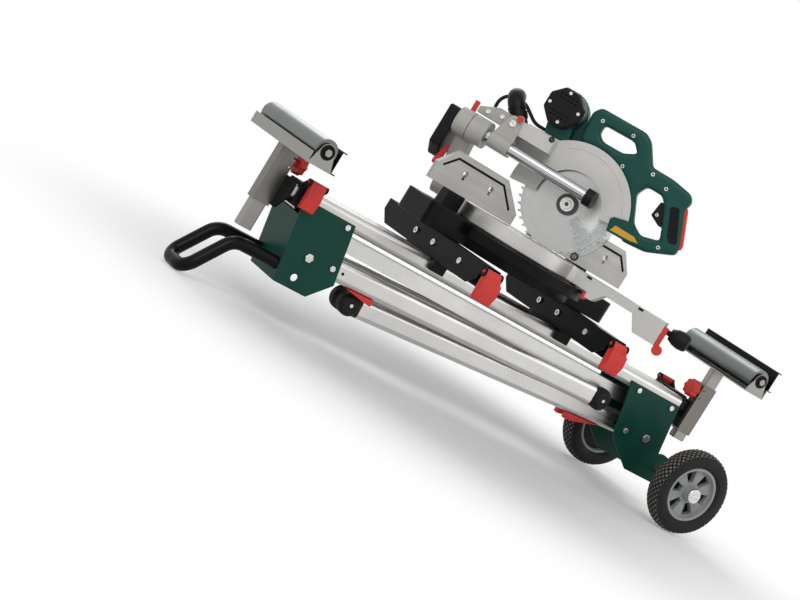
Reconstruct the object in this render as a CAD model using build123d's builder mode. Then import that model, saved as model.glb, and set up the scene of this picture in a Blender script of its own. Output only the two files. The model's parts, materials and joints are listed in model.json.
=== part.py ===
from build123d import *
import os
from math import atan2, cos, degrees, hypot, radians, sin, tan

# A sliding mitre saw clamped on a folding wheeled stand, resting on its two wheels and its pull handle.
# X runs along the beam towards the wheels, the operator stands at -Y, Z is up and the floor is Z = 0.
# All lengths are in millimetres and all angles in degrees.

# Place of the beam's middle in the object's frame, whose origin is under the middle of the outline
beam_place_x = 28.75
beam_place_y = 40.7419

# Clearances
slide_gap = 0.3
flat_gap = 0.1
run_gap = 0.06
seat_gap = 0.02

# The folded legs lie between the two end brackets, so their length sets the beam's length
leg_length = 838.0
foot_to_pivot = 162.0
pivot_inset = 40.0

# Beam: a rounded aluminium extrusion with two channels side by side
beam_length = leg_length + foot_to_pivot + 2 * pivot_inset
beam_depth = 112.0
beam_height = 36.0
beam_bottom = 232.0
beam_wall = 3.0
beam_edge_radius = 12.0
beam_groove_width = 7.0
beam_groove_depth = 1.4
beam_groove_offset = 19.0
beam_end = beam_length / 2
beam_side = beam_depth / 2
beam_top = beam_bottom + beam_height
beam_middle = beam_bottom + beam_height / 2
channel_width = (beam_depth - 3 * beam_wall) / 2
channel_height = beam_height - 2 * beam_wall
channel_radius = beam_edge_radius - beam_wall
channel_offset = (channel_width + beam_wall) / 2

# End brackets: folded steel sheet, two side plates and a leaning end web each
bracket_sheet = 3.5
bracket_top = 248.0
bracket_foot = 75.0
bracket_lean = 0.19
left_web_reach = 26.0
right_web_reach = 1.0
left_web_top_x = -beam_end - left_web_reach
right_web_top_x = beam_end + right_web_reach
web_top = 215.0
left_plate_cover = 97.0
left_plate_inner = beam_end - left_plate_cover
left_knee_cover = 125.0
left_plate_reach = beam_end - left_knee_cover
left_plate_knee = 121.0
left_toe_cover = 80.0
left_plate_toe = beam_end - left_toe_cover
right_plate_cover = 160.0
right_plate_inner = beam_end - right_plate_cover
right_knee_cover = 124.0
right_plate_reach = beam_end - right_knee_cover
right_plate_knee = 117.0
right_toe_cover = 43.0
right_plate_toe = beam_end - right_toe_cover
right_plate_foot = 64.0
axle_ear_radius = 34.0
plate_hole_inset = 36.0
plate_hole_x = -beam_end + plate_hole_inset
plate_hole_z = 99.0
plate_hole_radius = 8.0

# Lower rail: a flat tube between the two webs
rail_width = 50.0
rail_height = 32.0
rail_bottom = 188.0
rail_wall = 2.5

# Legs: oval tubes that fold along the beam, the left pair outside the right pair
leg_pivot_x = beam_end - pivot_inset
leg_pivot_z = 148.0
leg_height = 46.0
leg_width = 22.0
leg_wall = 2.0
leg_heel = 22.0
leg_pin_radius = 6.0
left_leg_offset = 44.4
right_leg_offset = 17.0
left_leg_rise = 1.9
right_leg_rise = -3.3
leg_head_radius = 10.0
leg_head_height = 6.0
leg_hub_radius = 10.0
foot_radius = 26.0
foot_width = 32.0
foot_edge = 8.0

# Bolt heads on the bracket plates, as distance out from the beam's end and Z
bolt_radius = 7.0
bolt_height = 5.0
left_bolt_places = [(12.0, 236.0), (-81.0, 238.0), (-100.0, 151.0)]
right_bolt_places = [(-130.0, 236.0), (-22.0, 236.0), (-103.0, 142.0)]
left_bolts = [(-beam_end - out, z) for out, z in left_bolt_places]
right_bolts = [(beam_end + out, z) for out, z in right_bolt_places]

# Pull handle: one bent tube with closed ends
handle_radius = 13.5
handle_spread = 44.0
handle_arm_z = 108.0
handle_bend_reach = 115.0
handle_bend_x = -beam_end - handle_bend_reach
handle_grip_reach = 182.0
handle_grip_x = -beam_end - handle_grip_reach
handle_arm_bend = 45.0
handle_grip_bend = 28.0

# Wheels on one axle
wheel_radius = 100.0
tyre_width = 48.0
tyre_shoulder = 13.0
tread_depth = 3.0
tread_blocks = 30
tread_slot = 5.0
rim_radius = 64.0
rim_flange = 6.0
rim_web = 14.0
rim_hub_radius = 19.0
rim_hub_width = 46.0
rim_windows = 6
rim_window_inner = 25.0
rim_window_outer = 54.0
rim_window_angle = 29.0
axle_reach = 38.0
axle_x = beam_end + axle_reach
axle_radius = 8.0
axle_spacer_radius = 12.0
wheel_offset = 186.0
hub_cap_radius = 18.5
hub_cap_height = 6.0
hub_cap_taper = 20.0

# Extension tubes, their clamps and levers
extension_length = 930.0
extension_wall = 2.0
clamp_length = 56.0
clamp_top = 272.0
clamp_bottom = 224.0
clamp_inset = 0.4
clamp_ear = 6.0
clamp_lever_width = 34.0
clamp_lever_thickness = 9.0
clamp_lever_drop = 54.0
clamp_pivot_y = 65.0
clamp_pivot_z = 281.0
clamp_boss_radius = 7.0
clamp_pin_radius = 3.0

# Roller posts: an outer tube on a bracket, an inner tube that slides in it, and a roller on top
post_reach = 92.0
post_x = beam_end + post_reach
post_outer_x = 41.0
post_outer_y = 25.0
post_inner_x = 35.0
post_inner_y = 20.0
post_wall = 2.0
post_bottom = 195.0
post_inner_length = 182.0
socket_plate = 8.0
socket_plate_top = 268.0
socket_plate_bottom = 200.0
post_notch_width = 3.5
post_notch_length = 9.0
post_notches = [303.0, 283.0]
roller_left_z = 351.0
right_roller_lift = 41.0
roller_radius = 25.0
roller_length = 270.0
roller_wall = 2.0
roller_end = 6.0
roller_axle_radius = 5.0
roller_boss_radius = 8.0
yoke_gap = 4.0
yoke_sheet = 3.0
yoke_drop = 31.0
yoke_clearance = 3.0
yoke_flange_top = 10.0
yoke_ear_radius = 17.0
yoke_nut_radius = 8.0
yoke_nut_height = 5.0
stop_sheet = 2.5
stop_height = 50.0
stop_lip = 12.0
stop_low = -33.5
stop_lift = 22.0

post_top = roller_left_z - yoke_drop - yoke_sheet - flat_gap

# Post knobs: lobed clamp knobs with a screw
knob_radius = 21.0
knob_width = 18.0
knob_edge = 1.5
knob_lobes = 8
knob_lobe_radius = 5.0
knob_standoff = 10.5
knob_z = 296.0
knob_screw_radius = 4.0
knob_boss_radius = 8.0

# Saw carriers: upturned channels across the beam
carrier_left_x = -225.0
carrier_right_x = 145.0
carrier_width = 46.0
carrier_height = 52.0
carrier_sheet = 3.0
carrier_front = -232.0
carrier_back = 200.0
carrier_nose = 30.0
carrier_jaw_width = 36.0
carrier_jaw_depth = 12.0
carrier_jaw_drop = 24.0
carrier_pivot_y = -241.0
carrier_pivot_drop = 12.0
carrier_pin_radius = 4.0
carrier_ear_radius = 10.0
carrier_lever_thickness = 15.0
carrier_lever_drop = 58.0
carrier_bottom = beam_top + flat_gap
carrier_top = carrier_bottom + carrier_height

# Saw base and table
mitre_x = -40.0
mitre_y = 20.0
mitre_angle = 45.0
base_height = 50.0
base_radius = 165.0
base_wall = 7.0
base_roof = 9.0
wing_left = -300.0
wing_right = 236.0
wing_front = -45.0
wing_back = 92.0
wing_corner = 22.0
scale_radius = 186.0
scale_angle = 124.0
scale_drop = 4.0
scale_height = 26.0
base_top = carrier_top + base_height
table_gap = 0.3
table_radius = 150.0
table_thickness = 32.0
table_roof = 12.0
table_rim = 8.0
table_bottom = base_top + table_gap
table_top = table_bottom + table_thickness
table_pin_radius = 12.0
table_pin_length = 30.0
pivot_boss_radius = 22.0
kerf_half_width = 9.0
kerf_back = -40.0
kerf_front = 292.0
insert_margin = 9.0
insert_depth = 4.0
arm_half_width = 40.0
arm_tip_half_width = 33.0
arm_length = 372.0
arm_deep_start = 196.0
arm_deep = 44.0
arm_notch_start = 212.0
arm_notch_end = 300.0
arm_notch_height = 20.0
arm_end_drop = 54.0

# Fences: sliding plates on two pillars of the base
fence_y = mitre_y
fence_thickness = 12.0
fence_lift = 2.2
fence_height = 80.0
fence_tip_height = 25.0
fence_left_end = -307.0
fence_left_top = -130.0
fence_left_tip = -68.0
fence_right_end = 272.0
fence_right_top = 78.0
fence_right_tip = -14.0
fence_corner_run = 37.0
fence_corner_drop = 42.0
fence_groove = 5.0
fence_groove_depth = 3.0
fence_groove_inset = 15.0
fence_key_radius = 6.0
fence_key_slot = 3.0
fence_key_drop = 14.0
left_key_insets = (75.0, 149.0)
right_key_insets = (76.0, 154.0)
fence_left_keys = [fence_left_end + inset for inset in left_key_insets]
fence_right_keys = [fence_right_end - inset for inset in right_key_insets]
pillar_width = 45.0
pillar_depth = 26.0
pillar_height = 70.0
pillar_left_x = -222.0
pillar_right_x = 148.0
fence_bottom = table_top + fence_lift

# Mitre knob and lever at the end of the table's arm
mitre_knob_z = 386.0
mitre_stem_radius = 6.0
mitre_knob_gap = 16.0
mitre_knob_start = arm_length + mitre_knob_gap
mitre_knob_length = 44.0
mitre_knob_radius = 20.0
mitre_lever_offset = 20.0
mitre_lever_width = 16.0
mitre_lever_thickness = 10.0
mitre_lever_drop = 52.0
mitre_lever_top = 8.0
mitre_lever_bulb = 11.0

# Bevel joint: a pin along the arm's direction at table height, and the standing arm that turns on it
bevel_face = -178.0
bevel_pin_radius = 8.0
bevel_boss_radius = 24.0
bevel_lug_half_width = 34.0
bevel_arm_depth = 37.0
bevel_arm_width = 50.0
drum_radius = 30.0
drum_front = -157.0
drum_back = -228.0
tube_z = 540.0
tube_radius = 13.0
tube_wall = 2.0
tube_outer_offset = 66.0
tube_inner_offset = 36.0
tube_front = 100.0
tube_back = -205.0
tube_stop = 18.0
tube_stop_margin = 5.0
cover_depth = 27.0
cover_top = 562.0
cover_shoulder = 470.0
cover_foot = 446.0
cover_left = 82.0
cover_right = -12.0
cover_foot_left = 40.0
cover_corner = 14.0
bevel_lever_offset = 44.0
bevel_lever_z = 474.0
bevel_lever_width = 16.0
bevel_lever_thickness = 9.0
bevel_lever_reach = 54.0
bevel_lever_tilt = -38.0

# Slide carriage and chop pivot
carriage_back = -147.0
carriage_front = -98.0
carriage_wall = 5.0
chop_k = -120.0
chop_z = 590.0
chop_pin_radius = 7.0
chop_ear_radius = 18.0
chop_lug_radius = 16.0
chop_ear = 9.0
lug_top = 607.0
lug_gap = 4.0
tail_back = -204.0
tail_bottom = 574.0
tail_rise = 14.0
tail_slope = 40.0
tail_top = 606.0
tail_thickness = 28.0
head_lock_place = (-110.0, 606.0)
head_lock_lobe = 8.0
head_lock_radius = 3.0
head_lock_size = 12.0
slide_lock_k = -212.0
slide_lock_radius = 4.0
slide_lock_depth = 12.0
slide_lock_thickness = 8.0
slide_lock_width = 10.0
slide_lock_height = 24.0
chop_lug_left = 58.0
chop_lug_right = 34.0

# Blade, guards and drive
blade_k = 59.0
blade_z = 505.0
blade_radius = 108.0
blade_body_radius = 101.0
blade_thickness = 2.4
blade_teeth = 40
flange_radius = 23.0
spindle_radius = 15.0
flange_left = 12.0
flange_right = -7.0
arbor_bolt_radius = 9.0
arbor_bolt_left = 16.0
guard_radius = 136.0
guard_half_width = 16.0
guard_wall = 2.5
guard_window = 73.0
guard_front_angle = 6.0
guard_back_angle = 186.0
chute_back = -138.0
chute_low = 578.0
chute_mouth = 50.0
chute_bottom = 562.0
lower_guard_radius = 114.0
lower_guard_sheet = 2.0
lower_guard_half_width = 10.0
lower_guard_low = -50.0
lower_guard_high = 76.0
lower_guard_lip = 30.0
lower_guard_overrun = 4.0
lower_guard_inner = 76.0
lower_guard_hub = 31.0
lower_roller_radius = 6.0
nose_radius = 30.0
motor_k = -50.0
motor_z = 675.0
motor_radius = 43.0
motor_left = 25.0
motor_right = -76.0
motor_cap_depth = 20.0
motor_cap_radius = 46.0
drive_right = -46.0
drive_hub_radius = 34.0
drive_motor_radius = 45.0
elbow_lean = 39.0
elbow_radius = 19.0
elbow_wall = 2.5
elbow_rise = 68.0
elbow_bend = 24.0
elbow_tail = 30.0
elbow_tilt = radians(elbow_lean)

# Head handle: carrying loop on top and a closed grip at the front
grip_half_width = 16.0
trigger_half_width = 9.0
trigger_travel = 6.0

# Cable between the carriage and the motor
cable_radius = 4.0
cable_offset = 36.0
cable_route = [(-40.4, 580), (-194, 580), (-194, 644), (-140, 644), (-100, 617), (-67.6, 617)]
cable_bends = [31.0, 31.0, 40.0, 40.0]


def rotated_about_middle(piece):
    """The same piece at the other end of the stand, turned half a turn about the vertical middle line."""
    return Rot(0, 0, 180) * piece


def web_x(top_x, height):
    """X of a leaning end web's inner face at a height."""
    return top_x + (web_top - height) * bracket_lean


def across(k):
    """Plane square to the saw's forward direction, k ahead of the mitre axis: right, up."""
    return Plane(origin=(0, -k, 0), x_dir=(1, 0, 0), z_dir=(0, -1, 0))


# Plane of the saw blade in the saw's own frame: forward, up, with the operator's left as its normal
blade_plane = Plane(origin=(0, 0, 0), x_dir=(0, -1, 0), z_dir=(-1, 0, 0))

# Turn from the saw's own frame, mitre axis at the origin, to its place on the stand
saw_place = Pos(mitre_x, mitre_y, 0) * Rot(0, 0, mitre_angle)

pieces = {}


# Beam
with BuildPart() as beam:
    with BuildSketch(Plane.YZ.offset(-beam_end)):
        with Locations((0, beam_middle)):
            RectangleRounded(beam_depth, beam_height, beam_edge_radius)
        with Locations((-channel_offset, beam_middle), (channel_offset, beam_middle)):
            RectangleRounded(channel_width, channel_height, channel_radius, mode=Mode.SUBTRACT)
        with Locations((-beam_groove_offset, beam_top), (beam_groove_offset, beam_top)):
            Rectangle(beam_groove_width, 2 * beam_groove_depth, mode=Mode.SUBTRACT)
    extrude(amount=beam_length)
pieces["beam"] = beam.part


# End brackets
def side_plates(outline, ear=None):
    """Both side plates of a bracket, from one outline in X and Z, with an optional round ear."""
    with BuildPart() as plates:
        with BuildSketch(Plane.XZ.offset(beam_side)):
            with BuildLine():
                Polyline(*outline, close=True)
            make_face()
            if ear:
                with Locations(ear):
                    Circle(axle_ear_radius)
                    Circle(axle_radius + seat_gap, mode=Mode.SUBTRACT)
        extrude(amount=bracket_sheet)
        mirror(about=Plane.XZ)
    return plates.part


def end_web(top_x, foot_z, outward):
    """Leaning sheet between the two side plates; outward is -1 on the left bracket and 1 on the right."""
    with BuildPart() as web:
        with BuildSketch(Plane.XZ.offset(-beam_side)):
            with BuildLine():
                Polyline(
                    (web_x(top_x, web_top), web_top),
                    (web_x(top_x, foot_z), foot_z),
                    (web_x(top_x, foot_z) + outward * bracket_sheet, foot_z),
                    (web_x(top_x, web_top) + outward * bracket_sheet, web_top),
                    close=True,
                )
            make_face()
        extrude(amount=beam_depth)
    return web.part


left_outline = [
    (web_x(left_web_top_x, bracket_top) - bracket_sheet, bracket_top),
    (-left_plate_inner, bracket_top),
    (-left_plate_reach, left_plate_knee),
    (-left_plate_toe, bracket_foot),
    (web_x(left_web_top_x, bracket_foot) - bracket_sheet, bracket_foot),
]
with BuildPart() as left_end_bracket:
    add(side_plates(left_outline))
    add(end_web(left_web_top_x, bracket_foot, -1))
    with Locations(Plane.XZ * Pos(plate_hole_x, plate_hole_z)):
        Hole(plate_hole_radius, beam_depth)
    with Locations(Plane.XZ * Pos(-leg_pivot_x, leg_pivot_z)):
        Hole(leg_pin_radius + seat_gap, beam_depth)
pieces["left_end_bracket"] = left_end_bracket.part

right_outline = [
    (right_plate_inner, bracket_top),
    (web_x(right_web_top_x, bracket_top) + bracket_sheet, bracket_top),
    (web_x(right_web_top_x, handle_arm_z) + bracket_sheet, handle_arm_z),
    (axle_x + axle_ear_radius * 0.6, right_plate_foot),
    (right_plate_toe, right_plate_foot),
    (right_plate_reach, right_plate_knee),
]
with BuildPart() as right_end_bracket:
    add(side_plates(right_outline, ear=(axle_x, wheel_radius)))
    add(end_web(right_web_top_x, wheel_radius + axle_ear_radius, 1))
    with Locations(Plane.XZ * Pos(leg_pivot_x, leg_pivot_z)):
        Hole(leg_pin_radius + seat_gap, beam_depth)
pieces["right_end_bracket"] = right_end_bracket.part


# Lower rail, cut to the lean of the webs
def rail_outline(inset):
    """Side outline of the rail in X and Z, drawn in by a wall thickness at top and bottom."""
    low = rail_bottom + inset
    high = rail_bottom + rail_height - inset
    return [
        (web_x(left_web_top_x, low), low),
        (web_x(right_web_top_x, low), low),
        (web_x(right_web_top_x, high), high),
        (web_x(left_web_top_x, high), high),
    ]


with BuildPart() as lower_rail:
    with BuildSketch(Plane.XZ.offset(-rail_width / 2)):
        with BuildLine():
            Polyline(*rail_outline(0), close=True)
        make_face()
    extrude(amount=rail_width)
    with BuildSketch(Plane.XZ.offset(-rail_width / 2 + rail_wall)):
        with BuildLine():
            Polyline(*rail_outline(rail_wall), close=True)
        make_face()
    extrude(amount=rail_width - 2 * rail_wall, mode=Mode.SUBTRACT)
pieces["lower_rail"] = lower_rail.part


# Bolt heads and leg pivot pins
def pivot_pin(x):
    """Leg pivot through both plates, with a head on each."""
    half = beam_side + bracket_sheet
    with BuildPart() as pin:
        with BuildSketch(Plane.XZ.offset(-half)):
            with Locations((x, leg_pivot_z)):
                Circle(leg_pin_radius)
        extrude(amount=2 * half)
        for side in (-1, 1):
            with BuildSketch(Plane.XZ.offset(side * half)):
                with Locations((x, leg_pivot_z)):
                    RegularPolygon(leg_head_radius, 6)
            extrude(amount=side * leg_head_height)
    return pin.part


with BuildPart() as frame_bolts:
    add(pivot_pin(-leg_pivot_x))
    add(pivot_pin(leg_pivot_x))
    for side in (-1, 1):
        with BuildSketch(Plane.XZ.offset(side * (beam_side + bracket_sheet))):
            with Locations(*left_bolts, *right_bolts):
                RegularPolygon(bolt_radius, 6)
        extrude(amount=side * bolt_height)
pieces["frame_bolts"] = frame_bolts.part


# Legs: each pair is joined by a hub tube that turns on its pivot pin
def leg_pair(offset_y, hub_half):
    """Two leg tubes along +X from their pivot at the origin, with the hub tube between and beside them."""
    with BuildPart() as legs:
        with BuildSketch(Plane.YZ.offset(-leg_heel)):
            with Locations((-offset_y, 0), (offset_y, 0)):
                SlotOverall(leg_height, leg_width, rotation=90)
        extrude(amount=leg_heel + leg_length - foot_radius)
        with BuildSketch(Plane.YZ.offset(-leg_heel)):
            with Locations((-offset_y, 0), (offset_y, 0)):
                SlotOverall(leg_height - 2 * leg_wall, leg_width - 2 * leg_wall, rotation=90)
        extrude(amount=leg_heel + leg_length - foot_radius, mode=Mode.SUBTRACT)
        with BuildSketch(Plane.XZ.offset(-hub_half)):
            Circle(leg_hub_radius)
        extrude(amount=2 * hub_half)
        with BuildSketch(Plane.XZ.offset(-beam_side)):
            Circle(leg_pin_radius + run_gap)
        extrude(amount=beam_depth, mode=Mode.SUBTRACT)
    return legs.part


def leg_feet(offset_y):
    """Rounded rubber feet at the ends of a pair of legs, each against its tube's end."""
    with BuildPart() as feet:
        for side in (-1, 1):
            with BuildPart(mode=Mode.PRIVATE) as foot:
                with BuildSketch(Plane.XZ.offset(-side * offset_y - foot_width / 2)):
                    with Locations((leg_length, 0)):
                        Circle(foot_radius)
                extrude(amount=foot_width)
                chamfer(foot.edges().filter_by(GeomType.CIRCLE), foot_edge)
                with BuildSketch(Plane.YZ.offset(leg_length - foot_radius)):
                    with Locations((side * offset_y, 0)):
                        SlotOverall(leg_height, leg_width, rotation=90)
                extrude(amount=foot_radius)
            add(foot.part)
    return feet.part


left_leg_place = Pos(-leg_pivot_x, 0, leg_pivot_z) * Rot(0, -left_leg_rise, 0)
right_leg_place = Pos(leg_pivot_x, 0, leg_pivot_z) * Rot(0, 0, 180) * Rot(0, -right_leg_rise, 0)
left_hub_half = left_leg_offset + leg_width / 2
right_hub_half = beam_side - slide_gap
pieces["legs_left"] = left_leg_place * leg_pair(left_leg_offset, left_hub_half)
pieces["feet_left"] = left_leg_place * leg_feet(left_leg_offset)
pieces["legs_right"] = right_leg_place * leg_pair(right_leg_offset, right_hub_half)
pieces["feet_right"] = right_leg_place * leg_feet(right_leg_offset)


# Pull handle, its arms cut to the left web
handle_start = web_x(left_web_top_x, handle_arm_z)
handle_points = [
    (handle_start, -handle_spread, handle_arm_z),
    (handle_bend_x, -handle_spread, handle_arm_z),
    (handle_grip_x, -handle_spread, handle_radius),
    (handle_grip_x, handle_spread, handle_radius),
    (handle_bend_x, handle_spread, handle_arm_z),
    (handle_start, handle_spread, handle_arm_z),
]
handle_bends = [handle_arm_bend, handle_grip_bend, handle_grip_bend, handle_arm_bend]
web_face = Plane(
    origin=(handle_start - bracket_sheet, 0, handle_arm_z),
    x_dir=(0, 1, 0),
    z_dir=(-1, 0, -bracket_lean),
)
with BuildPart() as pull_handle:
    with BuildLine() as handle_path:
        FilletPolyline(*handle_points, radius=handle_bends)
    with BuildSketch(Plane(origin=handle_points[0], z_dir=(-1, 0, 0))):
        Circle(handle_radius)
    sweep(path=handle_path.wires()[0])
    split(bisect_by=web_face, keep=Keep.TOP)
pieces["pull_handle"] = pull_handle.part


# Axle with its spacers and hub caps
with BuildPart() as wheel_axle:
    hub_face = wheel_offset + rim_hub_width / 2 + slide_gap
    spacer_end = wheel_offset - rim_hub_width / 2 - slide_gap
    with BuildSketch(Plane.XZ.offset(-hub_face)):
        with Locations((axle_x, wheel_radius)):
            Circle(axle_radius)
    extrude(amount=2 * hub_face)
    for side in (-1, 1):
        with BuildSketch(Plane.XZ.offset(side * (beam_side + bracket_sheet))):
            with Locations((axle_x, wheel_radius)):
                Circle(axle_spacer_radius)
        extrude(amount=side * (spacer_end - beam_side - bracket_sheet))
    with BuildSketch(Plane.XZ.offset(hub_face)):
        with Locations((axle_x, wheel_radius)):
            Circle(hub_cap_radius)
    extrude(amount=hub_cap_height, taper=hub_cap_taper)
    mirror(about=Plane.XZ)
pieces["wheel_axle"] = wheel_axle.part


# Wheels
def tyre():
    """Tyre on the axle line, with shoulder slots between its tread blocks."""
    with BuildPart() as rubber:
        with BuildSketch(Plane.YZ):
            half = tyre_width / 2
            bead = half - rim_flange
            crown = half - tyre_shoulder
            wall_top = wheel_radius - tyre_shoulder
            wall_low = rim_radius + rim_flange
            Polygon(
                (-bead, rim_radius),
                (bead, rim_radius),
                (half, wall_low),
                (half, wall_top),
                (half - tyre_shoulder / 4, wheel_radius - tyre_shoulder / 3),
                (crown, wheel_radius),
                (-crown, wheel_radius),
                (-half + tyre_shoulder / 4, wheel_radius - tyre_shoulder / 3),
                (-half, wall_top),
                (-half, wall_low),
                align=None,
            )
            with Locations((0, wheel_radius)):
                Rectangle(tread_slot, 2 * tread_depth, mode=Mode.SUBTRACT)
        revolve(axis=Axis.Y)
        for side in (-1, 1):
            with BuildSketch(Plane.XZ.offset(side * tread_slot)):
                with PolarLocations(wheel_radius, tread_blocks, start_angle=side * 90 / tread_blocks):
                    Rectangle(2 * tread_depth, tread_slot)
            extrude(amount=side * tyre_width, mode=Mode.SUBTRACT)
    return rubber.part


def rim():
    """Moulded rim with wedge windows and a hub that runs on the axle."""
    half_flange = tyre_width / 2 - rim_flange
    window_half = rim_radius * tan(radians(rim_window_angle / 2))
    with BuildPart() as plastic:
        with BuildSketch(Plane.XZ.offset(-half_flange)):
            Circle(rim_radius)
            Circle(rim_radius - rim_flange, mode=Mode.SUBTRACT)
        extrude(amount=2 * half_flange)
        with BuildSketch(Plane.XZ.offset(-rim_web / 2)):
            Circle(rim_radius - rim_flange / 2)
            with BuildSketch(mode=Mode.PRIVATE) as windows:
                with PolarLocations(0, rim_windows):
                    Polygon((0, 0), (rim_radius, -window_half), (rim_radius, window_half), align=None)
                Circle(rim_window_outer, mode=Mode.INTERSECT)
                Circle(rim_window_inner, mode=Mode.SUBTRACT)
            add(windows.sketch, mode=Mode.SUBTRACT)
        extrude(amount=rim_web)
        with BuildSketch(Plane.XZ.offset(-rim_hub_width / 2)):
            Circle(rim_hub_radius)
        extrude(amount=rim_hub_width)
        with Locations(Plane.XZ):
            Hole(axle_radius + run_gap, rim_hub_width)
    return plastic.part


for wheel_name, side in (("front", -1), ("rear", 1)):
    wheel_place = Pos(axle_x, side * wheel_offset, wheel_radius)
    pieces[f"tyre_{wheel_name}"] = wheel_place * tyre()
    pieces[f"rim_{wheel_name}"] = wheel_place * rim()


# Extension tubes in the beam's channels: the left one in front, the right one behind
tube_end = post_x - post_outer_x / 2 - socket_plate
with BuildPart() as extension_tube:
    with BuildSketch(Plane.YZ.offset(-tube_end)):
        with Locations((-channel_offset, beam_middle)):
            fit_width = channel_width - 2 * slide_gap
            fit_height = channel_height - 2 * slide_gap
            fit_radius = channel_radius - slide_gap
            RectangleRounded(fit_width, fit_height, fit_radius)
            RectangleRounded(
                fit_width - 2 * extension_wall,
                fit_height - 2 * extension_wall,
                fit_radius - extension_wall,
                mode=Mode.SUBTRACT,
            )
    extrude(amount=extension_length)
pieces["extension_tube_left"] = extension_tube.part
pieces["extension_tube_right"] = rotated_about_middle(extension_tube.part)


# Clamp housings on the beam's ends, with two ears for the lever
clamp_middle_x = -(beam_end + clamp_length / 2)
ear_span = clamp_lever_width + 2 * slide_gap + 2 * clamp_ear
with BuildPart() as extension_clamp:
    with BuildSketch(Plane.YZ.offset(-beam_end)):
        with BuildLine():
            Polyline(
                (-beam_side + clamp_inset, clamp_bottom),
                (beam_wall / 2, clamp_bottom),
                (beam_wall / 2, clamp_top),
                (-beam_side + clamp_inset, clamp_top),
                close=True,
            )
        make_face()
    extrude(amount=-clamp_length)
    fillet(extension_clamp.edges().filter_by(Axis.X).group_by(Axis.Z)[-1], 6)
    for side in (-1, 1):
        ear_x = clamp_middle_x + side * (ear_span - clamp_ear) / 2
        with BuildSketch(Plane.YZ.offset(ear_x - clamp_ear / 2)):
            with Locations((-clamp_pivot_y, clamp_pivot_z)):
                Circle(clamp_boss_radius)
            with BuildLine():
                Polyline(
                    (-clamp_pivot_y - clamp_boss_radius, clamp_pivot_z),
                    (-clamp_pivot_y, clamp_pivot_z + clamp_boss_radius),
                    (-beam_side + 3 * clamp_boss_radius, clamp_top - clamp_boss_radius),
                    (-beam_side + clamp_inset, beam_top - clamp_boss_radius),
                    close=True,
                )
            make_face()
        extrude(amount=clamp_ear)
    with BuildSketch(Plane.YZ.offset(-beam_end)):
        with Locations((-channel_offset, beam_middle)):
            RectangleRounded(channel_width, channel_height, channel_radius)
    extrude(amount=-clamp_length, mode=Mode.SUBTRACT)
    with Locations(Plane.YZ * Pos(-clamp_pivot_y, clamp_pivot_z, clamp_middle_x)):
        Hole(clamp_pin_radius + run_gap, ear_span)
with BuildPart() as extension_clamps:
    add(extension_clamp.part)
    add(rotated_about_middle(extension_clamp.part))
pieces["extension_clamps"] = extension_clamps.part

with BuildPart() as extension_lever:
    with BuildSketch(Plane.YZ.offset(clamp_middle_x - clamp_lever_width / 2)):
        with Locations((-clamp_pivot_y, clamp_pivot_z)):
            Circle(clamp_boss_radius)
        with BuildLine():
            lever_front = -clamp_pivot_y - clamp_lever_thickness
            lever_foot = clamp_pivot_z - clamp_lever_drop
            Polyline(
                (-clamp_pivot_y + 1, clamp_pivot_z - clamp_boss_radius),
                (-clamp_pivot_y, lever_foot),
                (lever_front, lever_foot),
                (lever_front - clamp_lever_thickness / 2, lever_foot + clamp_lever_drop / 2),
                (-clamp_pivot_y - clamp_boss_radius, clamp_pivot_z),
                (-clamp_pivot_y, clamp_pivot_z),
                close=True,
            )
        make_face()
    extrude(amount=clamp_lever_width)
    fillet(extension_lever.edges().filter_by(Axis.X).group_by(Axis.Z)[0], 3)
    with BuildSketch(Plane.YZ.offset(clamp_middle_x - ear_span / 2)):
        with Locations((-clamp_pivot_y, clamp_pivot_z)):
            Circle(clamp_pin_radius)
    extrude(amount=ear_span)
pieces["extension_lever_left"] = extension_lever.part
pieces["extension_lever_right"] = rotated_about_middle(extension_lever.part)


# Post sockets: a plate on each extension tube's end, and the outer post on the plate
with BuildPart() as post_socket:
    with BuildSketch(Plane.YZ.offset(-tube_end)):
        Polygon(
            (-beam_side + beam_wall, socket_plate_top),
            (post_outer_y / 2, socket_plate_top),
            (post_outer_y / 2, socket_plate_bottom),
            (-post_outer_y, socket_plate_bottom),
            (-beam_side + beam_wall, beam_bottom),
            align=None,
        )
    extrude(amount=-socket_plate)
pieces["post_socket_left"] = post_socket.part
pieces["post_socket_right"] = rotated_about_middle(post_socket.part)

with BuildPart() as outer_post:
    with BuildSketch(Plane.XY.offset(post_bottom)):
        with Locations((-post_x, 0)):
            Rectangle(post_outer_x, post_outer_y)
            Rectangle(post_inner_x + 2 * slide_gap, post_inner_y + 2 * slide_gap, mode=Mode.SUBTRACT)
    extrude(amount=post_top - post_bottom)
    with Locations(Plane.YZ * Pos(0, knob_z, -post_x + post_outer_x / 2)):
        Hole(knob_screw_radius + run_gap, post_outer_x / 4)
    with BuildSketch(Plane.XZ.offset(-post_outer_y)):
        notch_x = -post_x + (post_outer_x - post_notch_length + post_notch_width) / 2
        with Locations(*[(notch_x, z) for z in post_notches]):
            SlotOverall(post_notch_length + post_notch_width, post_notch_width)
    extrude(amount=2 * post_outer_y, mode=Mode.SUBTRACT)
pieces["outer_post_left"] = outer_post.part
pieces["outer_post_right"] = rotated_about_middle(outer_post.part)


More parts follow.
